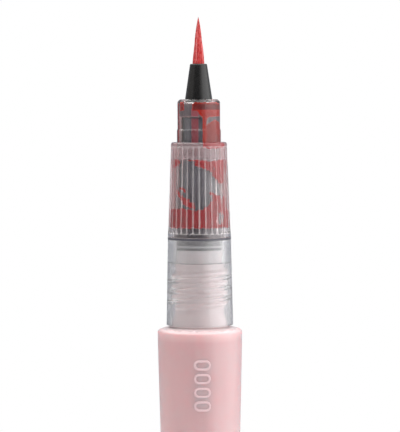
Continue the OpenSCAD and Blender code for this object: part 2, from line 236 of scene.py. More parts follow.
def ribbon_mesh(path: np.ndarray, across: np.ndarray, out: np.ndarray, width: float,
                height: float, sides: int = 10) -> Mesh:
    """A closed ring with an oval section: path_k + width/2 cos^p b across_k + height sin^p b out_k.

    The powers keep the sign of the sine and cosine, and p is under 1, which squares the oval.

    Args:
        path: points of the closed path.
        across: unit direction across the path, in the surface, at each point.
        out: unit direction out of the surface at each point.
        width: width of the section.
        height: height of the section above the path, and depth below it.
        sides: number of points in a section.

    Returns:
        The points and the faces.
    """
    angle = np.arange(sides) * TURN / sides
    sine, cosine, power = np.sin(angle), np.cos(angle), 0.6
    lift = np.sign(sine) * np.abs(sine) ** power * height
    reach = np.sign(cosine) * np.abs(cosine) ** power * width / 2
    points = path[:, None] + across[:, None] * reach[None, :, None] + out[:, None] * lift[None, :, None]
    return points.reshape(-1, 3), grid_faces(len(path), sides, True, True).tolist()


def polygon_depth(x: np.ndarray, y: np.ndarray, corners: Corners) -> np.ndarray:
    """How deep a point lies inside a polygon, by its nearest edge; below zero outside.

    Args:
        x: first coordinate of the points.
        y: second coordinate.
        corners: the polygon's corners in order.

    Returns:
        The depth of each point.
    """
    a = np.asarray(corners, dtype=float)
    b = np.roll(a, -1, axis=0)
    px, py = x[..., None], y[..., None]
    edge = b - a
    along = ((px - a[:, 0]) * edge[:, 0] + (py - a[:, 1]) * edge[:, 1]) / (edge**2).sum(axis=1)
    along = np.clip(along, 0, 1)
    gap = np.hypot(px - a[:, 0] - along * edge[:, 0], py - a[:, 1] - along * edge[:, 1]).min(axis=-1)
    rises = (a[:, 1] > py) != (b[:, 1] > py)
    slope = np.where(edge[:, 1] == 0, 1e-12, edge[:, 1])
    inside = (rises & (px < a[:, 0] + edge[:, 0] * (py - a[:, 1]) / slope)).sum(axis=-1) % 2 == 1
    return np.where(inside, gap, -gap)


def screw_ridge(angle: np.ndarray, z: np.ndarray, pitch: float, start_z: float, start: float,
                turns: float, root: float, crest: float) -> np.ndarray:
    """Height of a screw ridge, from 0 at its foot to 1 on its crest.

    q = (z - start_z) / pitch - (angle - start) / 2 pi counts the turns that lie between a point and the
    ridge's first turn. The ridge's middle is where q is whole, its flanks slope from root to crest,
    and it fades out over the last part of a turn at each end.

    Args:
        angle: angle of the points.
        z: heights of the points.
        pitch: rise of the ridge in a turn.
        start_z: height at which the ridge starts.
        start: angle at which it starts.
        turns: its length in turns.
        root: width at its foot.
        crest: width on its crest.

    Returns:
        The ridge's height at each point.
    """
    wound = ((angle - start) / TURN) % 1.0
    q = (z - start_z) / pitch - wound
    nearest = np.round(q)
    gap = np.abs(q - nearest) * pitch
    flank = np.clip((root / 2 - gap) / (root / 2 - crest / 2), 0, 1)
    along = nearest + wound
    fade_turns = 0.2
    fade = np.clip(np.minimum(along, turns - along) / fade_turns, 0, 1)
    return flank * flank * (3 - 2 * flank) * fade * (nearest >= 0)


# ---------------------------------------------------------------- finishes


class NodeTree:
    """A node tree, with short ways to add to it."""

    def __init__(self, tree: bpy.types.NodeTree) -> None:
        """Takes the tree that the nodes go into."""
        self.tree = tree

    def node(self, kind: str, settings: Optional[dict] = None, **inputs: object) -> bpy.types.Node:
        """Adds a node.

        Args:
            kind: the node's type.
            settings: properties of the node.
            **inputs: socket names, with _ for a space, or _ and a number, and a value or output for each.

        Returns:
            The new node.
        """
        made = self.tree.nodes.new(kind)
        for key, value in (settings or {}).items():
            setattr(made, key, value)
        for key, value in inputs.items():
            socket = made.inputs[int(key[1:])] if key[1:].isdigit() else made.inputs[key.replace("_", " ")]
            if isinstance(value, Socket):
                self.tree.links.new(value, socket)
            else:
                socket.default_value = value
        return made

    def math(self, operation: str, first: object, second: object, clamp: bool = False) -> Socket:
        """Two values joined by an operation."""
        settings = {"operation": operation, "use_clamp": clamp}
        return self.node("ShaderNodeMath", settings, _0=first, _1=second).outputs[0]

    def ranged(self, value: Socket, low: float, high: float, start: float = 0.3,
               stop: float = 0.7, kind: str = "LINEAR") -> Socket:
        """A value from start..stop spread over low..high."""
        return self.node("ShaderNodeMapRange", {"interpolation_type": kind}, _0=value, _1=start, _2=stop,
                         _3=low, _4=high).outputs[0]

    def mixed(self, part: Socket, first: object, second: object,
              blend: str = "MIX") -> Socket:
        """Two colours mixed by a part from 0 to 1."""
        settings = {"data_type": "RGBA", "blend_type": blend}
        return self.node("ShaderNodeMix", settings, _0=part, _6=first, _7=second).outputs[2]


class Shader(NodeTree):
    """A material's nodes, with one Principled surface."""

    def __init__(self, name: str) -> None:
        """Starts a material of that name."""
        self.material = bpy.data.materials.new(name)
        self.material.use_nodes = True
        super().__init__(self.material.node_tree)
        self.surface = self.tree.nodes["Principled BSDF"]
        self.place = self.node("ShaderNodeTexCoord").outputs["Object"]

    def noise(self, scale: float, tall: float = 1, detail: float = 3) -> Socket:
        """Noise with scale features in a metre, drawn out upwards where tall is under 1."""
        spread = self.node("ShaderNodeMapping", Vector=self.place, Scale=(1, 1, tall)).outputs[0]
        return self.node("ShaderNodeTexNoise", Vector=spread, Scale=scale, Detail=detail).outputs["Fac"]

    def cloud(self, scale: float, tall: float = 1) -> Socket:
        """Noise spread over 0 to 1, for mixing two tones."""
        return self.ranged(self.noise(scale, tall), 0.0, 1.0)

    def worn(self, low: float, high: float, scale: float, tall: float = 1) -> None:
        """Lets the surface's roughness drift between two values with scale features in a metre."""
        self.link(self.ranged(self.noise(scale, tall), low, high), "Roughness")

    def attribute(self, name: str) -> Socket:
        """A number that each point of the mesh carries."""
        return self.node("ShaderNodeAttribute", {"attribute_name": name}).outputs["Fac"]

    def bumped(self, height: Socket, strength: float, distance: float) -> None:
        """Gives the surface a bump from a height."""
        bump = self.node("ShaderNodeBump", Height=height, Strength=strength, Distance=distance)
        self.link(bump.outputs[0], "Normal")

    def link(self, value: Socket, socket: str) -> None:
        """Feeds a value into a socket of the surface."""
        self.tree.links.new(value, self.surface.inputs[socket])

    def set(self, **inputs: object) -> None:
        """Sets sockets of the surface, with _ for a space in their names."""
        for key, value in inputs.items():
            self.surface.inputs[key.replace("_", " ")].default_value = value


def tone(red: float, green: float, blue: float) -> Colour:
    """A display colour of 0 to 255 as linear light."""
    parts = [c / 255 for c in (red, green, blue)]
    return tuple(c / 12.92 if c < 0.04045 else ((c + 0.055) / 1.055) ** 2.4 for c in parts) + (1.0,)


def dimmed(colour: Colour, part: float) -> Colour:
    """A colour with only a part of its light."""
    return tuple(c * part for c in colour[:3]) + (1.0,)


@dataclass(frozen=True)
class ClearMoulding:
    """Clear moulded plastic, from polished to frosted, with faint flow marks.

    The rib haze is milky haze on the ridges between flutes, a painted highlight that whitens each ridge. A scale
    counts features in a metre.
    """

    name: str
    tint: Colour
    roughness: float = 0.06
    haze: float = 0.1
    frost: float = 0.03
    rib_highlight_haze: float = 0.0
    specular: float = 0.5
    ior: float = 1.49
    flow_scale: float = 900
    wear_scale: float = 2600
    frost_scale: float = 5200
    frost_depth: float = 0.00004

    def build(self) -> bpy.types.Material:
        """Makes the material."""
        s = Shader(self.name)
        s.set(IOR=self.ior, Transmission_Weight=1 - self.haze, Specular_IOR_Level=self.specular)
        # Painted highlight: the ridges between the flutes let less light through, which whitens them.
        if self.rib_highlight_haze:
            clear = s.ranged(s.attribute("rib"), 1 - self.haze, 1 - self.rib_highlight_haze, 0.35, 1.0)
            s.link(clear, "Transmission Weight")
        s.link(s.mixed(s.cloud(self.flow_scale, 0.25), dimmed(self.tint, 0.94), self.tint), "Base Color")
        s.worn(self.roughness * 0.8, self.roughness * 1.25, self.wear_scale, 0.4)
        s.bumped(s.noise(self.frost_scale, 0.5, 2), self.frost, self.frost_depth)
        return s.material


@dataclass(frozen=True)
class DyedMoulding:
    """Coloured moulded plastic or rubber that lets a little light in. A scale counts features in a metre."""

    name: str
    base: Colour
    deep: Colour
    roughness: float = 0.32
    glow: float = 0.15
    glow_depth: float = 0.0012
    coat: float = 0.0
    grain: float = 0.06
    flow_scale: float = 420
    wear_scale: float = 1900
    grain_scale: float = 6500
    grain_depth: float = 0.00003

    def build(self) -> bpy.types.Material:
        """Makes the material."""
        s = Shader(self.name)
        s.set(Subsurface_Weight=self.glow, Subsurface_Scale=self.glow_depth,
              Subsurface_Radius=(1.0, 0.45, 0.4), Coat_Weight=self.coat, Coat_Roughness=0.12)
        s.link(s.mixed(s.cloud(self.flow_scale, 0.35), self.deep, self.base), "Base Color")
        s.worn(self.roughness * 0.88, self.roughness * 1.14, self.wear_scale)
        s.bumped(s.noise(self.grain_scale, detail=4), self.grain, self.grain_depth)
        return s.material


@dataclass(frozen=True)
class BarrelPlastic:
    """Soft pink squeeze plastic that pales into the neck. The thin neck's pale tone is its own; the paling over
    the shoulder and just below the rim is painted highlight from the light above.

    The body glows with light from inside, and the thin neck hardly does. A scale counts features in a metre.
    """

    name: str
    body: Colour
    neck: Colour
    rim_z: float
    roughness: float = 0.36
    neck_roughness: float = 0.13
    flow_scale: float = 260
    wear_scale: float = 1500
    grain_scale: float = 5600
    grain: float = 0.05
    grain_depth: float = 0.00003

    def build(self) -> bpy.types.Material:
        """Makes the material."""
        s = Shader(self.name)
        s.set(Subsurface_Scale=0.001, Subsurface_Radius=(3.0, 0.9, 0.9), Specular_IOR_Level=0.8,
              Coat_Roughness=0.45)
        height = s.node("ShaderNodeSeparateXYZ", Vector=s.place).outputs["Z"]

        def from_rim(first: float, last: float, start: float, stop: float) -> Socket:
            """A value that runs from first to last between two heights over the rim, in millimetres."""
            return s.ranged(height, first, last, (self.rim_z + start) * MM, (self.rim_z + stop) * MM)

        # From the body to the neck over the shoulder: the neck's tone, coat and gloss are its own, and the
        # shoulder's pale tone is painted highlight.
        up = from_rim(0.0, 1.0, -0.2, 0.7)
        body = s.mixed(s.cloud(self.flow_scale, 0.2), dimmed(self.body, 0.93), self.body)
        # Painted highlight: the body pales just below the rim, where the light from above falls.
        body_with_painted_rim_highlight = s.mixed(from_rim(0.0, 0.35, -1.6, 0.0), body, self.neck)
        s.link(s.mixed(up, body_with_painted_rim_highlight, self.neck), "Base Color")
        s.link(from_rim(1.0, 0.1, -0.5, 0.3), "Subsurface Weight")
        s.link(s.ranged(up, 1.0, 0.2, 0.0, 1.0), "Coat Weight")
        rough = s.ranged(s.noise(self.wear_scale), self.roughness * 0.9, self.roughness * 1.12)
        s.link(s.node("ShaderNodeMix", _0=up, _2=rough, _3=self.neck_roughness).outputs[0], "Roughness")
        s.bumped(s.noise(self.grain_scale, detail=4), self.grain, self.grain_depth)
        return s.material


@dataclass(frozen=True)
class InkFinish:
    """Wet ink against a wall: pale at its very rim, bright where it is thin, darker where it is deep. It also
    makes grey films of painted shade, whose pale rims are painted highlights.
    """

    name: str
    thin: Colour
    deep: Colour
    rim: Colour
    gloss: float = 0.0
    cover: float = 1.0

    def build(self) -> bpy.types.Material:
        """Makes the material."""
        s = Shader(self.name)
        s.set(Specular_IOR_Level=self.gloss, Alpha=self.cover)
        cloud = s.ranged(s.noise(700, 0.6, 4), -0.22, 0.22)
        depth = s.math("ADD", s.attribute("shade"), cloud, True)
        s.link(s.mixed(s.attribute("edge"), s.mixed(depth, self.thin, self.deep), self.rim), "Base Color")
        s.worn(0.14, 0.3, 1800)
        return s.material


@dataclass(frozen=True)
class BristleFinish:
    """Red fibre, streaked by each filament's own tint and by pale noise streaks of painted sheen."""

    name: str
    dyed: Colour
    pale: Colour

    def build(self) -> bpy.types.Material:
        """Makes the material."""
        s = Shader(self.name)
        s.set(Specular_IOR_Level=0.4, Subsurface_Weight=0.1, Subsurface_Scale=0.0003, Sheen_Weight=0.08,
              Sheen_Roughness=0.4)
        # Painted sheen: pale streaks of noise drawn out upwards along the filaments.
        painted_sheen_streaks = s.ranged(s.noise(3800, 0.5, 4), -0.25, 0.3, 0.35, 0.7)
        part = s.math("ADD", s.attribute("tint"), painted_sheen_streaks, True)
        s.link(s.mixed(part, self.dyed, self.pale), "Base Color")
        s.worn(0.28, 0.5, 2500)
        s.bumped(s.noise(9000, 0.12), 0.15, 0.00004)
        return s.material


class Finish(Enum):
    """The pen's finishes."""

    BRISTLE = BristleFinish("bristle", tone(176, 26, 26), tone(226, 130, 130))
    BLACK = DyedMoulding("ferrule_black", (0.006, 0.0057, 0.0057, 1), (0.004, 0.004, 0.004, 1), 0.27, 0.0,
                         grain=0.12)
    NOSE = ClearMoulding("nose_clear", (0.97, 0.93, 0.93, 1), 0.04, 0.01, 0.012, specular=0.1)
    # The grip's ridges get milky haze as a painted highlight.
    GRIP = ClearMoulding("grip_clear", (0.95, 0.89, 0.90, 1), 0.07, 0.03, 0.006, 0.26, 0.35)
    SLEEVE = ClearMoulding("sleeve_clear", (0.94, 0.93, 0.94, 1), 0.1, 0.1, 0.02)
    PIPE = ClearMoulding("pipe_clear", (0.95, 0.93, 0.93, 1), 0.12, 0.25, 0.02)
    FEED = DyedMoulding("feed_grey", tone(92, 97, 107), tone(80, 85, 95), 0.38, 0.05, 0.0005, grain=0.1)
    PLUG = DyedMoulding("plug_grey", tone(74, 73, 82), tone(62, 61, 70), 0.3, 0.05, 0.0005, grain=0.08)
    FIBRE = DyedMoulding("fibre_red", tone(170, 60, 60), tone(150, 45, 48), 0.8, 0.1, grain=0.4)
    DARK_RUBBER = DyedMoulding("seal_dark", tone(52, 52, 62), tone(40, 40, 50), 0.5, 0.0, grain=0.1)
    PALE_RUBBER = DyedMoulding("seal_pale", tone(205, 203, 208), tone(188, 186, 192), 0.42, 0.1, grain=0.1)
    PALE = DyedMoulding("insert_pale", tone(226, 218, 220), tone(206, 197, 199), 0.32, 0.3, grain=0.05)
    MARK = DyedMoulding("mark_pink", tone(204, 172, 176), tone(196, 163, 168), 0.42, 0.2, grain=0.04)
    CAP = DyedMoulding("cap_pink", tone(192, 145, 150), tone(187, 139, 145), 0.2, 0.3, 0.0016, 0.4, 0.04)
    CLIP = DyedMoulding("clip_pink", tone(192, 145, 150), tone(187, 139, 145), 0.2, 0.25, 0.0014, 0.4, 0.04)
    END = DyedMoulding("plug_red", tone(190, 40, 46), tone(170, 30, 38), 0.22, 0.2, 0.001, 0.4, 0.04)
    BARREL = BarrelPlastic("barrel_pink", tone(182, 143, 146), tone(232, 212, 213),
                           node_z("thread_sleeve", LOW) - RIM_DROP)
    WET_INK = InkFinish("ink_wet", (0.42, 0.018, 0.008, 1), (0.13, 0.012, 0.012, 1), (0.66, 0.045, 0.03, 1))
    GRIP_INK = InkFinish("ink_in_grip", (0.43, 0.03, 0.035, 1), (0.31, 0.02, 0.026, 1),
                         (0.5, 0.05, 0.058, 1))
    DRY_INK = InkFinish("ink_on_feed", (0.37, 0.10, 0.12, 1), (0.30, 0.07, 0.09, 1),
                        (0.40, 0.13, 0.16, 1), 0.2)
    # Painted shade: a grey film, not ink, that darkens gaps inside the nose; its pale rim is a painted highlight
    # on the stem's top edge.
    VEIL = InkFinish("painted_shade_film", (0.22, 0.19, 0.21, 1), (0.17, 0.14, 0.155, 1),
                     (0.62, 0.42, 0.43, 1), 0.1, 0.72)
    HAZE = InkFinish("ink_haze", (0.56, 0.42, 0.44, 1), (0.50, 0.36, 0.38, 1),
                     (0.60, 0.46, 0.48, 1), 0.1, 0.42)
    STAIN = InkFinish("ink_stain", (0.62, 0.38, 0.39, 1), (0.50, 0.27, 0.28, 1),
                      (0.64, 0.42, 0.43, 1), 0.1, 0.6)

    def material(self) -> bpy.types.Material:
        """The finish's material, made the first time that it is asked for."""
        return bpy.data.materials.get(self.value.name) or self.value.build()


# ---------------------------------------------------------------- pieces


def make_piece(name: str, points: np.ndarray, faces: list, finish: Finish, body: str,
               replaces: str = "", values: Optional[dict[str, np.ndarray]] = None) -> bpy.types.Object:
    """Puts a mesh into the scene as a finished piece, smooth but for its sharp edges.

    Args:
        name: the piece's name.
        points: points in millimetres.
        faces: point numbers of each face.
        finish: the piece's finish.
        body: CAD body that it rides on, or "" to leave it free.
        replaces: CAD node that it stands for, or "".
        values: named numbers for each point.

    Returns:
        The piece.
    """
    sharp = math.radians(50)
    mesh = bpy.data.meshes.new(name)
    mesh.from_pydata((points * MM).tolist(), [], faces)
    for key, numbers in (values or {}).items():
        held = mesh.attributes.new(key, "FLOAT", "POINT")
        held.data.foreach_set("value", np.asarray(numbers, dtype=np.float32))
    mesh.shade_smooth()
    mesh.set_sharp_from_angle(angle=sharp)
    mesh.materials.append(finish.material())
    piece = bpy.data.objects.new(name, mesh)
    bpy.context.scene.collection.objects.link(piece)
    if body:
        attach(piece, body)
    if replaces:
        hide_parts(replaces)
    log.info("%s: %d points, %d faces", name, len(points), len(faces))
    return piece


def turned_piece(name: str, outline: Corners, finish: Finish, body: str, soft: float, step: float,
                 cols: int = 144, closed: bool = True, relief: Optional[Relief] = None,
                 replaces: str = "") -> None:
    """Rounds a half outline, turns it round the axis and makes it a finished piece.

    Args:
        name: the piece's name.
        outline: points (radius, height) in millimetres.
        finish: the piece's finish.
        body: CAD body that it rides on.
        soft: rounding of its corners, 0 for none.
        step: longest edge of the outline.
        cols: number of points round the axis.
        closed: whether the outline stays clear of the axis.
        relief: change of radius over the surface.
        replaces: CAD node that it stands for, or "".
    """
    shape = eased(outline, soft, closed) if soft else np.asarray(outline)
    points, faces = turned_mesh(filled(shape, step, closed), cols, closed, relief)
    make_piece(name, points, faces, finish, body, replaces)


def dress_node(node: str, finish: Finish) -> None:
    """Gives a CAD node a finish through its material slots.

    Args:
        node: name of the CAD node.
        finish: its finish.
    """
    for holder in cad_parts[node].material_slots:
        holder.material = finish.material()
    log.info("%s: dressed in %s", node, finish.value.name)


@dataclass
class Heights:
    """Heights of the pen's layers in millimetres, read from the CAD nodes."""

    tip: float = read_z("tuft", HIGH)
    mouth: float = read_z("ferrule", HIGH)
    flange: float = read_z("ferrule", LOW)
    nose_top: float = read_z("nose_sleeve", HIGH)
    nose_foot: float = read_z("nose_sleeve", LOW)
    stem_top: float = read_z("feed_body", HIGH)
    feed_foot: float = read_z("feed_body", LOW)
    grip_top: float = read_z("grip_shell", HIGH)
    grip: float = read_z("grip_shell", LOW)
    skirt: float = read_z("feed_plug", HIGH)
    plug: float = read_z("feed_plug", LOW)
    sleeve_top: float = read_z("thread_sleeve", HIGH)
    sleeve: float = read_z("thread_sleeve", LOW)
    neck_top: float = read_z("barrel", HIGH)
    tail: float = read_z("barrel", LOW)

    @property
    def rim(self) -> float:
        """The barrel's widest place."""
        return self.sleeve - RIM_DROP


@dataclass
class BrushTip:
    """The tuft of filaments, its bound root and the black ferrule."""

    z: Heights
    tuft_r: float = 0.92
    tip_r: float = 1.32
    base_r: float = 2.1
    flange_r: float = 2.72
    flange_h: float = 0.4
    bore_r: float = 0.95
    bore_h: float = 3.9
    collar_r: float = 1.4
    filaments: int = 330
    full_length: int = 6
    rings: int = 18
    sides: int = 6
    golden_angle: float = 2.399963
    hidden_h: float = 0.25
    fibre_r: float = 0.052
    point_r: float = 0.004
    bend_h: float = 3.4

    def build(self) -> None:
        """Makes the tuft and the ferrule and dresses what lies inside them."""
        self.tuft()
        self.ferrule()
        dress_node("tuft_root", Finish.BRISTLE)
        dress_node("tuft_collar", Finish.BLACK)
        dress_node("tuft_retainer", Finish.BLACK)

    def tuft(self) -> None:
        """Filaments on a sunflower spiral, drawn together as (1 - u)^0.72 from the mouth to the tip.

        u runs from 0 to 1 along a filament. The outer ones are up to 42 % shorter, each sways a little
        round the axis and wanders a little from it, and its radius thins as (1 - u^2.2)^0.8.
        """
        rng = np.random.default_rng(11)
        n = self.filaments
        order = np.arange(n)
        part = np.sqrt((order + 0.5) / n)[:, None]
        phi = (order * self.golden_angle)[:, None]
        low, high = self.z.mouth - self.hidden_h, self.z.tip - 0.01
        reach = 1 - 0.42 * rng.random((n, 1)) ** 1.7 * part**0.7
        reach[:self.full_length] = 1
        u = np.linspace(0, 1, self.rings)[None, :] * reach
        rise = np.clip((u * (high - low) - self.hidden_h) / (high - low - self.hidden_h), 0, 1)
        envelope = (self.tuft_r - 0.045) * (1 - rise) ** 0.72
        sway = phi + 0.25 * u * (rng.random((n, 1)) - 0.3) * 2 + 0.05 * np.sin(9 * u + 6 * rng.random((n, 1)))
        wander = 1 + 0.05 * np.sin(11 * u + TURN * rng.random((n, 1))) * np.sin(math.pi * u)
        radius = envelope * part * np.minimum(wander, 1.02)
        paths = around(radius, sway, low + (high - low) * u)
        thick = self.fibre_r * (1 - (u / reach) ** 2.2) ** 0.8 + self.point_r
        points, faces = tubes_mesh(paths, thick, self.sides)
        tint = np.clip(rng.random(n) ** 3.2 * 1.1 + 0.1 * part[:, 0], 0, 1)
        tint = np.repeat(tint, self.rings * self.sides)
        piece = make_piece("tuft_filaments", points, faces, Finish.BRISTLE, "", "tuft",
                           {"tint": tint})
        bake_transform(piece)

    def ferrule(self) -> None:
        """A straight cone with a hidden flange at its foot, turned from one outline."""
        z, lip = self.z, 0.1
        step, ledge = z.mouth - self.bore_h, z.flange + self.flange_h
        outline = [(self.bore_r, z.mouth), (self.bore_r, step), (self.collar_r, step), (self.collar_r, z.flange),
                   (self.flange_r, z.flange), (self.flange_r, ledge), (self.base_r, ledge),
                   (self.base_r, z.nose_top), (self.tip_r, z.mouth - 0.12), (self.tip_r - lip, z.mouth)]
        turned_piece("ferrule_cone", outline, Finish.BLACK, "head", 0.1, 0.35,
                     replaces="ferrule")


# ---------------------------------------------------------------- ink


@dataclass
class Pool:
    """A pool of ink on a round wall, as an outline of (angle in degrees, height in mm).

    The angle is counted from the front to the right. depth is 0 for thin, bright ink to 1 for deep ink.
    """

    outline: Corners
    depth: float = 0.5
    hole: bool = False


def patch(half: float, low: float, high: float, depth: float) -> Pool:
    """An even patch of ink between two heights, half degrees to both sides."""
    return Pool([(-half, low), (half, low), (half, high), (-half, high)], depth)


def straight(radius: float) -> Wall:
    """A wall with one radius at every height."""
    return lambda h: radius + 0 * h


@dataclass
class InkFilm:
    """A closed film of ink on a round wall, cut out by the pools' outlines.

    The wall is laid flat as (s, z) with s = angle x radius. f is the deepest of the pools' depths, less
    the holes, with a fine ripple. Cells with f > 0 are kept, and each point near the edge is moved by
    -f grad f / |grad f|^2 on to f = 0. The film lies between wall + outer and wall + inner, and thins
    out towards its edge.

    pools holds the outlines, holes last, and wall gives the wall's radius at a height. The grid reaches
    from low to high and reach degrees to both sides of turn, in cells of step. ragged scales the ripple.
    """

    pools: Sequence[Pool]
    wall: Wall
    radius: float
    low: float
    high: float
    outer: float
    inner: float
    step: float = 0.07
    turn: float = 0.0
    reach: float = 112.0
    ragged: float = 1.0
    probe: float = 0.01
    rim_part: float = 0.35
    full_depth: float = 0.12
    rim_depth: float = 0.09

    def field(self, s: np.ndarray, z: np.ndarray) -> tuple[np.ndarray, np.ndarray]:
        """How deep points lie in the ink, and the shade of the pool that they lie in.

        Args:
            s: places round the wall.
            z: heights.

        Returns:
            The depth f, below zero outside the ink, and the shade.
        """
        value, shade = np.full(s.shape, -9.0), np.zeros(s.shape)
        for pool in self.pools:
            corners = np.asarray(pool.outline, dtype=float) * [math.radians(1) * self.radius, 1]
            depth = polygon_depth(s, z, corners)
            if pool.hole:
                value = np.minimum(value, -depth)
            else:
                shade = np.where(depth > value, pool.depth, shade)
                value = np.maximum(value, depth)
        slow, fast = np.sin(7.1 * s + 2.3 * z) * np.sin(6.3 * z - 1.9 * s), np.sin(17 * s - 13 * z)
        return value + (0.035 * slow + 0.02 * fast) * self.ragged, shade

    def cut(self) -> tuple[np.ndarray, np.ndarray, np.ndarray, np.ndarray]:
        """Cuts the flat film out of its grid.

        Returns:
            The places s and heights z of its points, its cells, and its border as pairs of points.
        """
        half = math.radians(self.reach) * self.radius
        cols, rows = int(2 * half / self.step), int((self.high - self.low) / self.step)
        s, z = np.meshgrid(np.linspace(-half, half, cols), np.linspace(self.low, self.high, rows))
        value, _ = self.field(s, z)
        centre = (value[:-1, :-1] + value[1:, :-1] + value[:-1, 1:] + value[1:, 1:]) / 4
        cells = grid_faces(rows, cols, False, False)[centre.reshape(-1) > 0]
        used, flat = np.unique(cells, return_inverse=True)
        cells = flat.reshape(-1, 4)
        s, z = s.reshape(-1)[used], z.reshape(-1)[used]
        sides = np.concatenate([cells[:, [k, (k + 1) % 4]] for k in range(4)])
        _, first, count = np.unique(np.sort(sides, axis=1), axis=0, return_index=True, return_counts=True)
        border = sides[first[count == 1]]
        near = np.unique(border)
        f, _ = self.field(s[near], z[near])
        fs = (self.field(s[near] + self.probe, z[near])[0] - f) / self.probe
        fz = (self.field(s[near], z[near] + self.probe)[0] - f) / self.probe
        least_slope, most = 0.3, 0.45 * self.step
        scale = np.clip(f / np.maximum(fs**2 + fz**2, least_slope), -most, most)
        s[near] -= scale * fs
        z[near] -= scale * fz
        return s, z, cells, border

    def build(self, name: str, finish: Finish) -> None:
        """Makes the film as a finished piece that rides on the head.

        Args:
            name: the piece's name.
            finish: its finish.
        """
        s, z, cells, border = self.cut()
        depth, shade = self.field(s, z)
        angle = s / self.radius + math.radians(self.turn - 90)
        full = np.clip(depth / self.full_depth, 0, 1) ** 0.5
        offsets = (self.outer, self.inner * (self.rim_part + (1 - self.rim_part) * full))
        points = np.vstack([around(self.wall(z) + offset, angle, z) for offset in offsets])
        a, b = border[:, 0], border[:, 1]
        faces = cells.tolist() + (cells[:, ::-1] + len(z)).tolist()
        faces += np.stack([b, a, a + len(z), b + len(z)], axis=1).tolist()
        edge = np.exp(-np.clip(depth, 0, None) / self.rim_depth)
        make_piece(name, points, faces, finish, "head",
                   values={"edge": np.tile(edge, 2), "shade": np.tile(shade, 2)})


@dataclass(frozen=True)
class InkPools:
    """Where ink lies against the nose, the feed's stem and the grip, and where grey films of painted shade lie
    in the nose.
    """

    nose: Sequence[Pool] = (
        Pool([(-19.7, 158.94), (-16.2, 159.14), (61.6, 159.13), (90.6, 158.91), (104, 157.92), (-5.7, 157.94),
              (-17.5, 157.94), (-19.7, 158.12)], 0.95),
        Pool([(-6.0, 157.99), (104, 157.95), (104, 157.05), (76.4, 157.07), (34.4, 157.0), (24.1, 156.78),
              (22.8, 155.92), (22.5, 152.94), (22.5, 152.4), (11.7, 152.4), (12.0, 156.82),
              (5.9, 157.19)], 0.1),
        Pool([(20.5, 155.65), (30.1, 155.92), (54.4, 156.54), (84.4, 156.02), (104, 155.75), (104, 152.4),
              (20.5, 152.4)], 0.3),
        Pool([(-67.6, 159.14), (-51.4, 159.15), (-49.2, 158.95), (-49.3, 158.1), (-52.4, 157.93),
              (-67.8, 157.92)], 0.7),
        Pool([(-112, 159.0), (-76, 159.01), (-74, 151.2), (-112, 151.2)], 0.9),
    )
    stem: Sequence[Pool] = (
        Pool([(-25.1, 156.75), (-0.9, 156.75), (-1.7, 151.2), (-25.6, 151.2)], 0.4),
    )
    band: Sequence[Pool] = (
        Pool([(-22.8, 158.3), (-0.8, 158.3), (-0.8, 157.06), (-22.8, 157.06)], 0.2),
    )
    # Grey films of painted shade in the nose's gaps, not ink.
    painted_shade: Sequence[Pool] = (
        Pool([(-75, 159.06), (20, 159.06), (20, 156.95), (-75, 156.95)], 0.4),
        Pool([(27, 157.3), (100, 157.3), (100, 155.6), (27, 155.6)], 0.7),
    )
    grip: Sequence[Pool] = (
        Pool([(-33.4, 150.77), (-8.4, 150.79), (-2.0, 150.48), (21.0, 150.15), (49.4, 150.27), (69.1, 150.41),
              (66.9, 147.04), (56.1, 146.65), (47.2, 146.97), (41.6, 147.51), (32.4, 147.84), (30.8, 148.47),
              (18.9, 148.9), (4.5, 149.32), (-8.4, 149.53), (-11.8, 150.27), (-23.3, 150.3),
              (-33.3, 150.56)], 0.5),
        Pool([(76.8, 150.36), (96.6, 150.17), (94.5, 148.63), (77.0, 148.36)], 0.6),
        Pool([(-63.2, 150.62), (-48.2, 150.23), (-50.2, 149.9), (-71.0, 149.03), (-76.7, 149.44),
              (-74.0, 150.37)], 0.6),
        Pool([(-106, 150.47), (-89.1, 150.5), (-83.4, 148.34), (-106, 148.3)], 0.8),
        Pool([(-60, 145.8), (-52, 145.65), (-44, 145.05), (-33, 144.6), (-22, 144.3), (-22, 144.0),
              (-34, 144.1), (-46, 144.35), (-51, 144.9), (-58, 145.3)], 0.1),
        Pool([(-50, 146.05), (-41, 146.25), (-34, 146.05), (-31, 145.5), (-33, 145.3), (-37, 145.8),
              (-42, 145.95), (-49, 145.8)], 0.1),
        Pool([(-45.3, 144.26), (-22.2, 144.09), (-11.6, 143.79), (-10.4, 142.8), (-23.0, 143.17),
              (-38.1, 143.68)], 0.3),
        Pool([(-106, 142.6), (-37.8, 142.99), (-9.8, 142.64), (9.8, 142.84), (17.5, 143.36), (29.1, 143.88),
              (32.5, 144.39), (29.5, 144.92), (19.7, 145.34), (31.4, 145.44), (43.8, 144.89), (52.4, 144.98),
              (54.8, 142.45), (60.9, 144.7), (71.1, 144.82), (75.6, 142.65), (106, 142.25), (106, 139.97),
              (-106, 139.97)], 0.7),
        Pool([(45.8, 142.28), (56.8, 142.37), (63.1, 141.77), (58.9, 140.78), (47.5, 140.37),
              (42.0, 141.06)], 0, True),
        Pool([(37.3, 149.15), (39.2, 149.0), (37.6, 148.8), (35.8, 148.98)], 0, True),
        Pool([(34.0, 147.95), (35.8, 147.8), (34.1, 147.6), (32.5, 147.78)], 0, True),
    )
    crown: Sequence[Pool] = (
        Pool([(9.4, 152.8), (78, 152.7), (76, 152.45), (60, 152.2), (52, 152.3), (44, 152.1), (36, 152.3),
              (28, 152.05), (19, 152.2), (12, 152.35)], 0.6),
    )


# ---------------------------------------------------------------- sub-assemblies


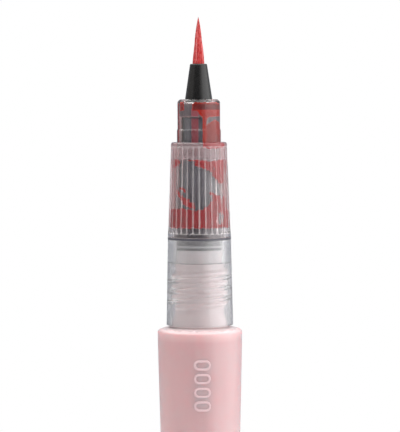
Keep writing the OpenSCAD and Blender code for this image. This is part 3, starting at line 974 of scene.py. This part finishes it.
@dataclass
class ClearNose:
    """The clear nose with its rounded top, the ink caught between it and the feed, and grey films of painted
    shade.
    """

    z: Heights
    ink: InkPools
    bore_r: float = 2.75
    nose_r: float = 3.28
    band_r: float = 3.38
    band_h: float = 2.0
    band_ease: float = 0.14
    hole_r: float = 2.13
    top_wall: float = 0.6
    stem_r: float = 2.45
    round_r: float = 0.6
    painted_shade_in_r: float = 2.2
    painted_shade_out_r: float = 2.7

    def build(self) -> None:
        """Makes the nose, the films of ink on its bore and the stem, and the films of painted shade on its bore
        and under its roof.
        """
        z, ink = self.z, self.ink
        roof, band_top = z.nose_top - self.top_wall, z.grip_top + self.band_h
        shoulder = arc(self.nose_r - self.round_r, z.nose_top - self.round_r, self.round_r, math.pi / 2, 0, 9)
        outline = np.vstack([
            [(self.bore_r, z.nose_foot), (self.band_r, z.nose_foot), (self.band_r, band_top - self.band_ease),
             (self.nose_r, band_top)],
            shoulder[::-1],
            [(self.hole_r, z.nose_top), (self.hole_r, roof), (self.bore_r, roof)],
        ])
        turned_piece("clear_nose", outline, Finish.NOSE, "head", 0.09, 0.3, 176,
                     replaces="nose_sleeve")
        # A thin grey ring of painted shade under the nose's roof.
        outline = [(self.painted_shade_in_r, roof - 0.05), (self.painted_shade_out_r, roof - 0.05),
                   (self.painted_shade_out_r, roof - 0.01), (self.painted_shade_in_r, roof - 0.01)]
        turned_piece("nose_roof_painted_shade", outline, Finish.VEIL, "head", 0, 1, 96)
        for name, pools, radius, outer, inner, finish in (
                ("nose_ink", ink.nose, self.bore_r, 0.03, -0.1, Finish.WET_INK),
                ("stem_ink", ink.stem, self.stem_r, 0.06, -0.03, Finish.DRY_INK),
                ("nose_band_ink", ink.band, self.bore_r, 0.028, -0.05, Finish.DRY_INK),
                # Painted shade: a grey film on the bore, not ink.
                ("nose_painted_shade", ink.painted_shade, self.bore_r, 0.025, -0.04, Finish.VEIL)):
            InkFilm(pools, straight(radius), radius, z.nose_foot + 0.2, roof + 0.1, outer,
                    inner).build(name, finish)
        stain = patch(118, z.nose_foot + 0.3, 159.0, 0.5)
        InkFilm([stain], straight(self.bore_r), self.bore_r, z.nose_foot + 0.2, z.nose_top - 0.5, 0.02, -0.03,
                0.12, 180, 121).build("nose_stain", Finish.STAIN)


@dataclass
class FlutedGrip:
    """The fluted clear shell with ink on its bore."""

    z: Heights
    ink: InkPools
    top_r: float = 4.31
    foot_r: float = 4.87
    wall: float = 0.9
    flutes: int = 30
    flute_part: float = 0.94
    flute_depth: float = 0.09
    flute_edge: float = 0.14
    margin: float = 0.6
    nose_gap_r: float = 3.41
    shelf_drop: float = 0.63
    shelf_slope: float = 0.3
    round_r: float = 0.3
    end_h: float = 1.6
    end_rows: int = 22
    cols: int = 600
    ink_r: float = 3.75

    @property
    def shelf(self) -> float:
        """Height of the shelf under the nose, where the bore widens."""
        return self.z.nose_foot - self.shelf_drop

    def out_r(self, h: np.ndarray) -> np.ndarray:
        """Radius of the outside at a height, straight from the foot to the top."""
        return self.foot_r + (self.top_r - self.foot_r) * (h - self.z.grip) / (self.z.grip_top - self.z.grip)

    def bore(self, h: np.ndarray) -> np.ndarray:
        """Radius of the bore at a height: a wall's thickness inside, and the nose's room over the shelf."""
        slope = np.clip((self.shelf - h) / self.shelf_slope, 0, 1)
        return self.nose_gap_r + slope * (self.out_r(np.minimum(h, self.shelf)) - self.wall - self.nose_gap_r)

    def flute_relief(self, angle: np.ndarray, r: np.ndarray, h: np.ndarray) -> np.ndarray:
        """Flutes with flat floors and round ends: -depth x S((w - d) / edge).

        d is the distance from the flute's middle line, w its half width, and S rises smoothly from 0 to 1.

        Args:
            angle: angles of the points.
            r: radii of the outline's points.
            h: heights of the outline's points.

        Returns:
            The change of radius.
        """
        wide = math.pi * (self.top_r + self.foot_r) / 2 / self.flutes * self.flute_part
        low, high = self.z.grip + self.margin + wide, self.z.grip_top - self.margin - wide
        across = ((angle * self.flutes / TURN + 0.5) % 1.0 - 0.5) * TURN / self.flutes * self.out_r(h)
        past = np.maximum(np.maximum(low - h, h - high), 0)
        wall = np.clip((wide - np.hypot(across, past)) / self.flute_edge, 0, 1)
        outside = r > self.out_r(h) - self.wall / 2
        return np.where(outside, -self.flute_depth * wall * wall * (3 - 2 * wall), 0.0)

    def build(self) -> None:
        """Makes the shell and its ink."""
        self.shell()
        z, shelf = self.z, self.shelf
        low, high = z.grip + 1.66, z.grip_top - 0.3
        haze = patch(62, shelf - 0.05, z.grip_top - 0.25, 0.3)
        InkFilm(self.ink.grip, self.bore, self.ink_r, z.grip + 1.4, shelf + 0.05, 0.03, -0.06,
                ragged=3.2).build("grip_ink", Finish.GRIP_INK)
        InkFilm([patch(120, low, high, 0.3)], self.bore, self.ink_r, low - 0.1, high + 0.05, 0.02, -0.015,
                0.1, 180, 123).build("grip_stain", Finish.STAIN)
        InkFilm([haze], self.bore, self.nose_gap_r, shelf - 0.1, z.grip_top - 0.2, 0.02, -0.012,
                0.1).build("crown_haze", Finish.HAZE)
        InkFilm(self.ink.crown, self.bore, self.nose_gap_r, shelf + 0.1, z.grip_top - 0.05, 0.03,
                -0.02).build("crown_ink", Finish.GRIP_INK)

    def shell(self) -> None:
        """Turns the shell and marks the ridges between its flutes, from 0 on a flute's floor to 1, where the
        finish paints a highlight.
        """
        z, shelf, soft = self.z, self.shelf, self.round_r
        ends = np.linspace(0, self.end_h, self.end_rows)
        middle = self.end_h + 0.3
        between = np.linspace(z.grip + middle, z.grip_top - middle, self.end_rows)
        body = np.concatenate([z.grip + ends, between, z.grip_top - self.end_h + ends[:-4]])
        crown = arc(self.top_r - soft, z.grip_top - soft, soft, 0, math.pi / 2, 7)[1:]
        outline = np.vstack([
            side_by_side(self.out_r(body), body), crown,
            [(self.nose_gap_r, z.grip_top), (self.nose_gap_r, shelf),
             (self.out_r(shelf) - self.wall - 0.06, shelf - self.shelf_slope),
             (self.foot_r - self.wall, z.grip)],
        ])
        shape = filled(eased(outline, 0.08), 0.8)
        points, faces = turned_mesh(shape, self.cols, relief=self.flute_relief)
        reach, h = np.hypot(points[:, 0], points[:, 1]), points[:, 2]
        fluted = np.abs(h - (z.grip + z.grip_top) / 2) < (z.grip_top - z.grip) / 2 - self.margin
        on_rib = (reach > self.out_r(h) - self.wall / 2) & fluted
        rib = np.where(on_rib, np.clip(1 + (reach - self.out_r(h)) / self.flute_depth, 0, 1), 0)
        make_piece("fluted_grip", points, faces, Finish.GRIP, "head", "grip_shell",
                   {"rib": rib})


@dataclass
class FeedCore:
    """The grey feed, its plug and rings, and the pipe into the barrel."""

    z: Heights
    feed_r: float = 2.95
    stem_r: float = 2.45
    stem_h: float = 5.9
    rod_r: float = 0.75
    ribs: int = 12
    rib_depth: float = 0.07
    spigot_r: float = 3.5
    ring_r: float = 4.89
    skirt_r: float = 3.91
    pipe_r: float = 0.9
    flange_t: float = 0.35
    groove_lift: float = 0.12
    groove_h: float = 0.3
    groove_d: float = 0.25
    gap: float = 0.03

    def build(self) -> None:
        """Makes the feed and the plug and dresses the small parts."""
        z = self.z
        shoulder, rod, pipe = z.stem_top - self.stem_h, self.rod_r + self.gap, self.pipe_r + self.gap
        outline = [(rod, z.feed_foot), (self.feed_r, z.feed_foot), (self.feed_r, shoulder - 0.3),
                   (self.feed_r - 0.3, shoulder), (self.stem_r, shoulder), (self.stem_r, z.stem_top),
                   (rod, z.stem_top)]
        turned_piece("feed_core", outline, Finish.FEED, "head", 0.1, 0.35, 192,
                     relief=self.channels, replaces="feed_body")
        flange, groove = z.grip - self.flange_t, z.plug + self.groove_lift
        floor_r, groove_top = self.spigot_r - self.groove_d, groove + self.groove_h
        outline = [(pipe, z.plug), (self.spigot_r, z.plug), (self.spigot_r, groove), (floor_r, groove),
                   (floor_r, groove_top), (self.spigot_r, groove_top), (self.spigot_r, flange),
                   (self.ring_r, flange), (self.ring_r, z.grip), (self.skirt_r, z.grip),
                   (self.skirt_r - 0.06, z.skirt), (rod, z.skirt), (rod, flange - self.gap),
                   (pipe, flange - self.gap)]
        turned_piece("ring_plug", outline, Finish.PLUG, "head", 0.05, 0.35, 160,
                     replaces="feed_plug")
        dress_node("plug_seal", Finish.PALE_RUBBER)
        dress_node("feed_rod", Finish.FIBRE)
        dress_node("intake_pipe", Finish.PIPE)

    def channels(self, angle: np.ndarray, r: np.ndarray, h: np.ndarray) -> np.ndarray:
        """Shallow channels down the feed: -depth where the cosine of ribs x angle is near 1.

        Args:
            angle: angles of the points.
            r: radii of the outline's points.
            h: heights of the outline's points, which don't matter here.

        Returns:
            The change of radius.
        """
        near = np.clip((np.cos(angle * self.ribs) - 0.6) / 0.4, 0, 1)
        body = np.clip((r - self.stem_r - 0.2) / 0.2, 0, 1)
        return -self.rib_depth * near * body


@dataclass
class ScrewNeck:
    """The clear threaded sleeve, with the seal and the stopper inside it."""

    z: Heights
    bore_r: float = 4.45
    foot_r: float = 5.14
    top_r: float = 4.87
    ledge_r: float = 3.58
    rows: int = 168
    pitch: float = 1.6
    crest_r: float = 4.3
    turns: float = 3.4
    thread_lift: float = 2.6
    neck_drop: float = 4.27
    first_part: float = 0.2
    root_part: float = 0.5
    crest_part: float = 0.1
    spigot_r: float = 3.5
    pipe_gap_r: float = 0.98
    neck_bore_r: float = 2.9
    cup_wall: float = 0.7
    cup_h: float = 3.0
    gap: float = 0.03

    def build(self) -> None:
        """Makes the sleeve with its inner thread and the pale stopper."""
        z = self.z
        ledge = z.neck_top + self.gap
        inner = np.linspace(ledge, z.sleeve, self.rows)
        outer = np.linspace(z.sleeve, z.sleeve_top, 48)
        out_r = self.foot_r + (self.top_r - self.foot_r) * (outer - z.sleeve) / (z.sleeve_top - z.sleeve)
        outline = np.vstack([
            side_by_side(np.full(self.rows, self.bore_r), inner), side_by_side(out_r, outer),
            [(self.ledge_r, z.sleeve_top), (self.ledge_r, ledge)],
        ])
        turned_piece("screw_sleeve", outline, Finish.SLEEVE, "head", 0.1, 0.3,
                     relief=self.thread, replaces="thread_sleeve")
        dress_node("neck_seal", Finish.DARK_RUBBER)
        top, low, roof = z.plug - 0.26, z.neck_top - self.cup_h, z.neck_top - self.cup_wall
        cup_r, skirt_r = self.neck_bore_r - self.cup_wall, self.neck_bore_r - self.gap
        outline = [(self.pipe_gap_r, top), (self.pipe_gap_r, roof), (cup_r, roof), (cup_r, low),
                   (skirt_r, low), (skirt_r, ledge), (self.spigot_r, ledge), (self.spigot_r, top)]
        turned_piece("neck_stopper", outline, Finish.PALE, "barrel", 0.1, 0.35,
                     replaces="neck_insert")

    def thread(self, angle: np.ndarray, r: np.ndarray, h: np.ndarray) -> np.ndarray:
        """The inner thread, half a pitch from the neck's own: it narrows the bore to the crest's radius.

        Args:
            angle: angles of the points.
            r: radii of the outline's points.
            h: heights of the outline's points.

        Returns:
            The change of radius.
        """
        start_z = self.z.sleeve + self.thread_lift + self.first_part * self.pitch
        neck_start = self.z.neck_top - self.pitch * self.neck_drop
        start = math.pi + TURN * ((start_z - neck_start) / self.pitch - 0.5)
        ridge = screw_ridge(angle, h, self.pitch, start_z, start, self.turns, self.root_part * self.pitch,
                            self.crest_part * self.pitch)
        on_bore = np.abs(r - self.bore_r) < 0.02
        return np.where(on_bore, -(self.bore_r - self.crest_r) * ridge, 0.0)


@dataclass
class SqueezeBarrel:
    """The soft pink barrel with its threaded neck, raised marks and tail plug."""

    z: Heights
    rim_r: float = 6.52
    post_r: float = 5.12
    tail_r: float = 4.77
    wall: float = 0.9
    post_depth: float = 24.0
    neck_r: float = 3.8
    neck_rows: int = 150
    bore_r: float = 2.9
    flare_h: float = 2.2
    flare_r: float = 0.6
    round_r: float = 0.4
    pitch: float = 1.6
    thread_h: float = 0.55
    turns: float = 3.9
    last_part: float = 0.37
    root_part: float = 0.74
    crest_part: float = 0.12
    flange_low: float = 1.23
    flange_round: float = 0.35
    gap: float = 0.03
    plug_h: float = 4.0
    plug_round: float = 0.3
    plug_wall: float = 1.0
    plug_floor_h: float = 1.2
    mark_w: float = 2.6
    mark_h: float = 1.6
    mark_line: float = 0.36
    mark_rise: float = 0.09
    mark_step: float = 2.1
    mark_first: float = 4.95
    mark_turn: float = 3.0
    marks: int = 4

    def side(self, inset: float, count: int, top: float) -> np.ndarray:
        """The barrel's side from under the rim to the tail, as a cubic Bezier curve set in by an offset.

        Args:
            inset: how far it is set in.
            count: number of points.
            top: height above which points are left out.

        Returns:
            The points, from the top down.
        """
        free = self.z.rim - self.z.tail - self.post_depth
        waist_r = self.post_r + 0.26 * (self.rim_r - self.post_r)
        ends = np.array([[self.rim_r, 0], [self.rim_r, -0.1 * free], [waist_r, -0.53 * free],
                         [self.post_r, -free]])
        t = np.linspace(0, 1, count)[:, None]
        curve = ((1 - t) ** 3 * ends[0] + 3 * t * (1 - t) ** 2 * ends[1] + 3 * t**2 * (1 - t) * ends[2]
                 + t**3 * ends[3])
        curve = curve + [-inset, self.z.rim]
        return np.vstack([curve[curve[:, 1] < top], [(self.tail_r - inset, self.z.tail)]])

    def build(self) -> None:
        """Makes the barrel, the marks and the plug."""
        self.shell()
        self.squeeze_marks()
        tail, low, high = self.z.tail, self.z.tail - self.flange_low, self.z.tail + self.plug_h
        plug_r, floor = self.tail_r - self.wall - self.gap, tail + self.plug_floor_h
        hollow_r = plug_r - self.plug_wall
        outline = [(0, low), (self.tail_r - self.flange_round, low), (self.tail_r, low + self.flange_round),
                   (self.tail_r, tail - self.gap), (plug_r, tail - self.gap),
                   (plug_r, high - self.plug_round), (plug_r - self.plug_round, high), (hollow_r, high),
                   (hollow_r, floor), (0, floor)]
        turned_piece("tail_stopper", outline, Finish.END, "barrel", 0.12, 0.6, 128, False,
                     replaces="tail_plug")

    def shell(self) -> None:
        """Turns the body, the round rim, the flare (1 - part)^1.1 and the neck from one outline."""
        z, soft = self.z, self.round_r
        shoulder = z.rim + soft
        part = np.linspace(1, 0, 16)
        flare = side_by_side(self.neck_r + self.flare_r * part**1.1,
                             shoulder + 0.08 + (self.flare_h - 0.08) * (1 - part))
        neck = np.linspace(shoulder + self.flare_h, z.neck_top - 0.1, self.neck_rows)[1:]
        rim = arc(self.rim_r - soft, z.rim - 0.37, soft, 0, math.radians(80), 8)
        inner_rim = z.rim - self.wall
        outline = np.vstack([
            [(self.tail_r - self.wall, z.tail)], self.side(0, 60, z.rim - 0.6)[::-1],
            rim, [(self.rim_r - 0.75, z.rim + 0.17), (self.neck_r + self.flare_r + 0.5, shoulder - 0.06)],
            flare, side_by_side(np.full(len(neck), self.neck_r), neck),
            [(self.neck_r - 0.1, z.neck_top), (self.bore_r, z.neck_top), (self.bore_r, inner_rim + 0.4),
             (self.rim_r - self.wall - 0.9, inner_rim), (self.rim_r - self.wall - 0.3, inner_rim - 0.3)],
            self.side(self.wall, 30, inner_rim - 1)[:-1],
        ])
        turned_piece("soft_barrel", outline, Finish.BARREL, "barrel", 0, 1.6,
                     relief=self.thread, replaces="barrel")

    def thread(self, angle: np.ndarray, r: np.ndarray, h: np.ndarray) -> np.ndarray:
        """The neck's thread: it raises the neck's outside to the crest.

        Args:
            angle: angles of the points.
            r: radii of the outline's points.
            h: heights of the outline's points.

        Returns:
            The change of radius.
        """
        start_z = self.z.neck_top - self.pitch * (self.turns + self.last_part)
        ridge = screw_ridge(angle, h, self.pitch, start_z, math.pi, self.turns, self.root_part * self.pitch,
                            self.crest_part * self.pitch)
        on_neck = (np.abs(r - self.neck_r) < 0.3) & (h < self.z.neck_top - 0.05)
        return np.where(on_neck, self.thread_h * ridge, 0.0)

    def racetrack(self, count: int = 72) -> tuple[np.ndarray, np.ndarray]:
        """A level ring: two straight sides joined by half circles, by its length s from the top left.

        Args:
            count: number of points.

        Returns:
            The points and the outward directions, both as (count, 2).
        """
        flat, bend = self.mark_w - self.mark_h, (self.mark_h - self.mark_line) / 2
        half = math.pi * bend
        s = np.arange(count) / count * (2 * flat + TURN * bend)
        right, left = (s - flat) / bend - math.pi / 2, (s - (2 * flat + half)) / bend + math.pi / 2
        spots = [s < flat, (s >= flat) & (s < flat + half), (s >= flat + half) & (s < 2 * flat + half)]
        zero = 0 * s
        nx = np.select(spots, [zero, np.cos(right), zero], np.cos(left))
        ny = np.select(spots, [zero - 1, np.sin(right), zero + 1], np.sin(left))
        x = np.select(spots, [s - flat / 2, flat / 2 + bend * nx, flat / 2 - (s - (flat + half))],
                      -flat / 2 + bend * nx)
        return side_by_side(x, bend * ny), side_by_side(nx, ny)

    def squeeze_marks(self) -> None:
        """Raised racetrack rings in a row down both sides, laid on the barrel."""
        ring, normal = self.racetrack()
        wall = self.side(0, 400, self.z.rim)[::-1]
        points, faces, total = [], [], 0
        for side in (0, 1):
            for row in range(self.marks):
                h = self.z.rim - self.mark_first - row * self.mark_step + ring[:, 1]
                r = np.interp(h, wall[:, 1], wall[:, 0]) + 0.03
                angle = math.radians(-90 + self.mark_turn + 180 * side) + ring[:, 0] / r
                out = around(1.0, angle, 0 * h)
                level = np.stack([-np.sin(angle), np.cos(angle), 0 * h], axis=-1)
                across = normal[:, :1] * level + normal[:, 1:] * np.array([0, 0, 1.0])
                path = around(r, angle, h)
                made, made_faces = ribbon_mesh(path, across, out, self.mark_line, self.mark_rise)
                points.append(made)
                faces += (np.array(made_faces) + total).tolist()
                total += len(made)
        make_piece("squeeze_marks", np.vstack(points), faces, Finish.MARK, "barrel")


@dataclass
class PostedCap:
    """The cap, posted on the barrel's tail, with its inner cup, end plug and clip."""

    bore_r: float = 5.37
    gap: float = 0.03
    end_r: float = 6.22
    end_round: float = 0.4
    flange_h: float = 1.2
    plug_h: float = 4.0
    plug_wall: float = 1.0

    def build(self) -> None:
        """Dresses the cap's shell, cup and clip and makes its end plug."""
        dress_node("cap_shell", Finish.CAP)
        dress_node("inner_cap", Finish.PALE)
        spigot = self.bore_r - self.gap
        hollow = spigot - self.plug_wall
        outline = [(0, 0), (self.end_r - self.end_round, 0), (self.end_r, self.end_round),
                   (self.end_r, self.flange_h), (spigot, self.flange_h), (spigot, self.plug_h),
                   (hollow, self.plug_h), (hollow, self.flange_h), (0, self.flange_h)]
        turned_piece("end_plug", outline, Finish.END, "cap", 0.14, 0.6, 160, False,
                     replaces="cap_end_plug")
        dress_node("clip", Finish.CLIP)


# ---------------------------------------------------------------- studio


@dataclass
class Studio:
    """The camera, the light round the pen and the pale floor.

    ring is the light round the pen, as (azimuth in degrees from the front to the right, red, green,
    blue), and box is the tall soft box on the right, as (azimuth, brightness).
    """

    look_z: float = 141.67
    reach: float = 372.0
    rise: float = 2.9
    side: float = 0.11
    roll: float = 0.3
    lens: float = 200.8
    floor_r: float = 0.6
    floor_drop: float = 0.00005
    floor_cols: int = 96
    strength: float = 4.0
    ring: Sequence[tuple[float, float, float, float]] = (
        (-180, 0.28, 0.30, 0.34), (-150, 0.28, 0.30, 0.34), (-120, 0.45, 0.44, 0.44), (-75, 0.56, 0.53, 0.52),
        (-58, 0.68, 0.65, 0.64), (-46, 0.07, 0.06, 0.065), (10, 0.07, 0.06, 0.07), (26, 0.85, 0.83, 0.83),
        (60, 1.1, 1.08, 1.09), (115, 0.9, 0.9, 0.9), (140, 0.42, 0.43, 0.47), (160, 0.30, 0.32, 0.36),
        (180, 0.28, 0.30, 0.34),
    )
    box: Sequence[tuple[float, float]] = ((0, 0), (28, 0), (42, 1.3), (100, 1.6), (118, 0), (180, 0))
    over: float = 3.0
    zenith: float = 2.2

    def build(self) -> None:
        """Makes them all."""
        self.camera()
        self.world()
        self.floor()
        bpy.context.scene.view_settings.view_transform = "Standard"

    def camera(self) -> None:
        """Places the camera at its reach and rise, looking at the pen's axis."""
        data = bpy.data.cameras.new("camera")
        data.lens, data.sensor_width, data.sensor_fit = self.lens, 36.0, "AUTO"
        data.clip_start, data.clip_end = 0.01, 20.0
        camera = bpy.data.objects.new("camera", data)
        bpy.context.scene.collection.objects.link(camera)
        rise = math.radians(self.rise)
        target = Vector((self.side, 0, self.look_z)) * MM
        back = Vector((0, -math.cos(rise), math.sin(rise)))
        roll = Matrix.Rotation(math.radians(-self.roll), 3, "Z")
        turn = (-back).to_track_quat("-Z", "Y").to_matrix() @ roll
        camera.matrix_world = Matrix.Translation(target + back * self.reach * MM) @ turn.to_4x4()
        bpy.context.scene.camera = camera

    def ramp(self, nodes: NodeTree, around: Socket,
             stops: Sequence[tuple[float, ...]]) -> Socket:
        """A colour that changes with the azimuth.

        Args:
            nodes: the world's nodes.
            around: azimuth as a part of a full turn, from the back.
            stops: azimuth in degrees and one or three levels of light, for each stop.

        Returns:
            The colour, as a part of the light's strength.
        """
        made = nodes.node("ShaderNodeValToRGB", _0=around)
        made.color_ramp.interpolation = "EASE"
        spots = made.color_ramp.elements
        spots.remove(spots[1])
        for index, (azimuth, *colour) in enumerate(stops):
            where = (azimuth + 180) / 360
            spot = spots[0] if index == 0 else spots.new(where)
            spot.position = where
            spot.color = [c / self.strength for c in (colour * 3)[:3]] + [1]
        return made.outputs[0]

    def world(self) -> None:
        """A ring of soft boxes and a bright overhead, seen by the pen; the lens itself sees plain white."""
        world = bpy.data.worlds.new("studio")
        bpy.context.scene.world = world
        world.use_nodes = True
        world.node_tree.nodes.clear()
        n = NodeTree(world.node_tree)
        way = n.node("ShaderNodeSeparateXYZ", _0=n.node("ShaderNodeTexCoord").outputs["Generated"]).outputs
        azimuth = n.math("ARCTAN2", way["X"], n.math("MULTIPLY", way["Y"], -1))
        around = n.ranged(azimuth, 0, 1, -math.pi, math.pi)
        lit = n.mixed(n.ranged(way["Z"], 1, 0, 0.2, 0.55, "SMOOTHSTEP"), self.ramp(n, around, self.ring),
                      self.ramp(n, around, self.box), "ADD")
        for light, start, stop in ((self.over, 0.3, 0.85), (self.zenith, 0.86, 0.98)):
            top = light / self.strength
            lit = n.mixed(n.ranged(way["Z"], 0, 1, start, stop, "SMOOTHSTEP"), lit, (top, top, top * 0.98, 1))
        light = n.node("ShaderNodeBackground", Color=lit, Strength=self.strength)
        white = n.node("ShaderNodeBackground", Color=(1, 1, 1, 1))
        lens = n.node("ShaderNodeLightPath").outputs["Is Camera Ray"]
        seen = n.node("ShaderNodeMixShader", _0=lens, _1=light.outputs[0], _2=white.outputs[0])
        n.node("ShaderNodeOutputWorld", _0=seen.outputs[0])

    def floor(self) -> None:
        """A pale round floor under the cap's end."""
        angle = np.arange(self.floor_cols) * TURN / self.floor_cols
        rim = around(1.0, angle, 0 * angle) * self.floor_r
        mesh = bpy.data.meshes.new("floor")
        mesh.from_pydata((rim - [0, 0, self.floor_drop]).tolist(), [], [list(range(self.floor_cols))])
        floor = bpy.data.objects.new("floor", mesh)
        bpy.context.scene.collection.objects.link(floor)
        s = Shader("floor_pale")
        s.set(Roughness=0.9)
        s.link(s.mixed(s.cloud(60), (0.80, 0.80, 0.80, 1), (0.83, 0.83, 0.83, 1)), "Base Color")
        mesh.materials.append(s.material)


def main() -> None:
    """Builds the studio and the pen's pieces, from the tuft down."""
    logging.basicConfig(level=logging.INFO, format="%(name)s %(message)s")
    heights, ink = Heights(), InkPools()
    Studio().build()
    for part in (BrushTip(heights), ClearNose(heights, ink), FlutedGrip(heights, ink), FeedCore(heights),
                 ScrewNeck(heights), SqueezeBarrel(heights), PostedCap()):
        part.build()
        log.info("%s done", type(part).__name__)


if __name__ == "__main__":
    main()
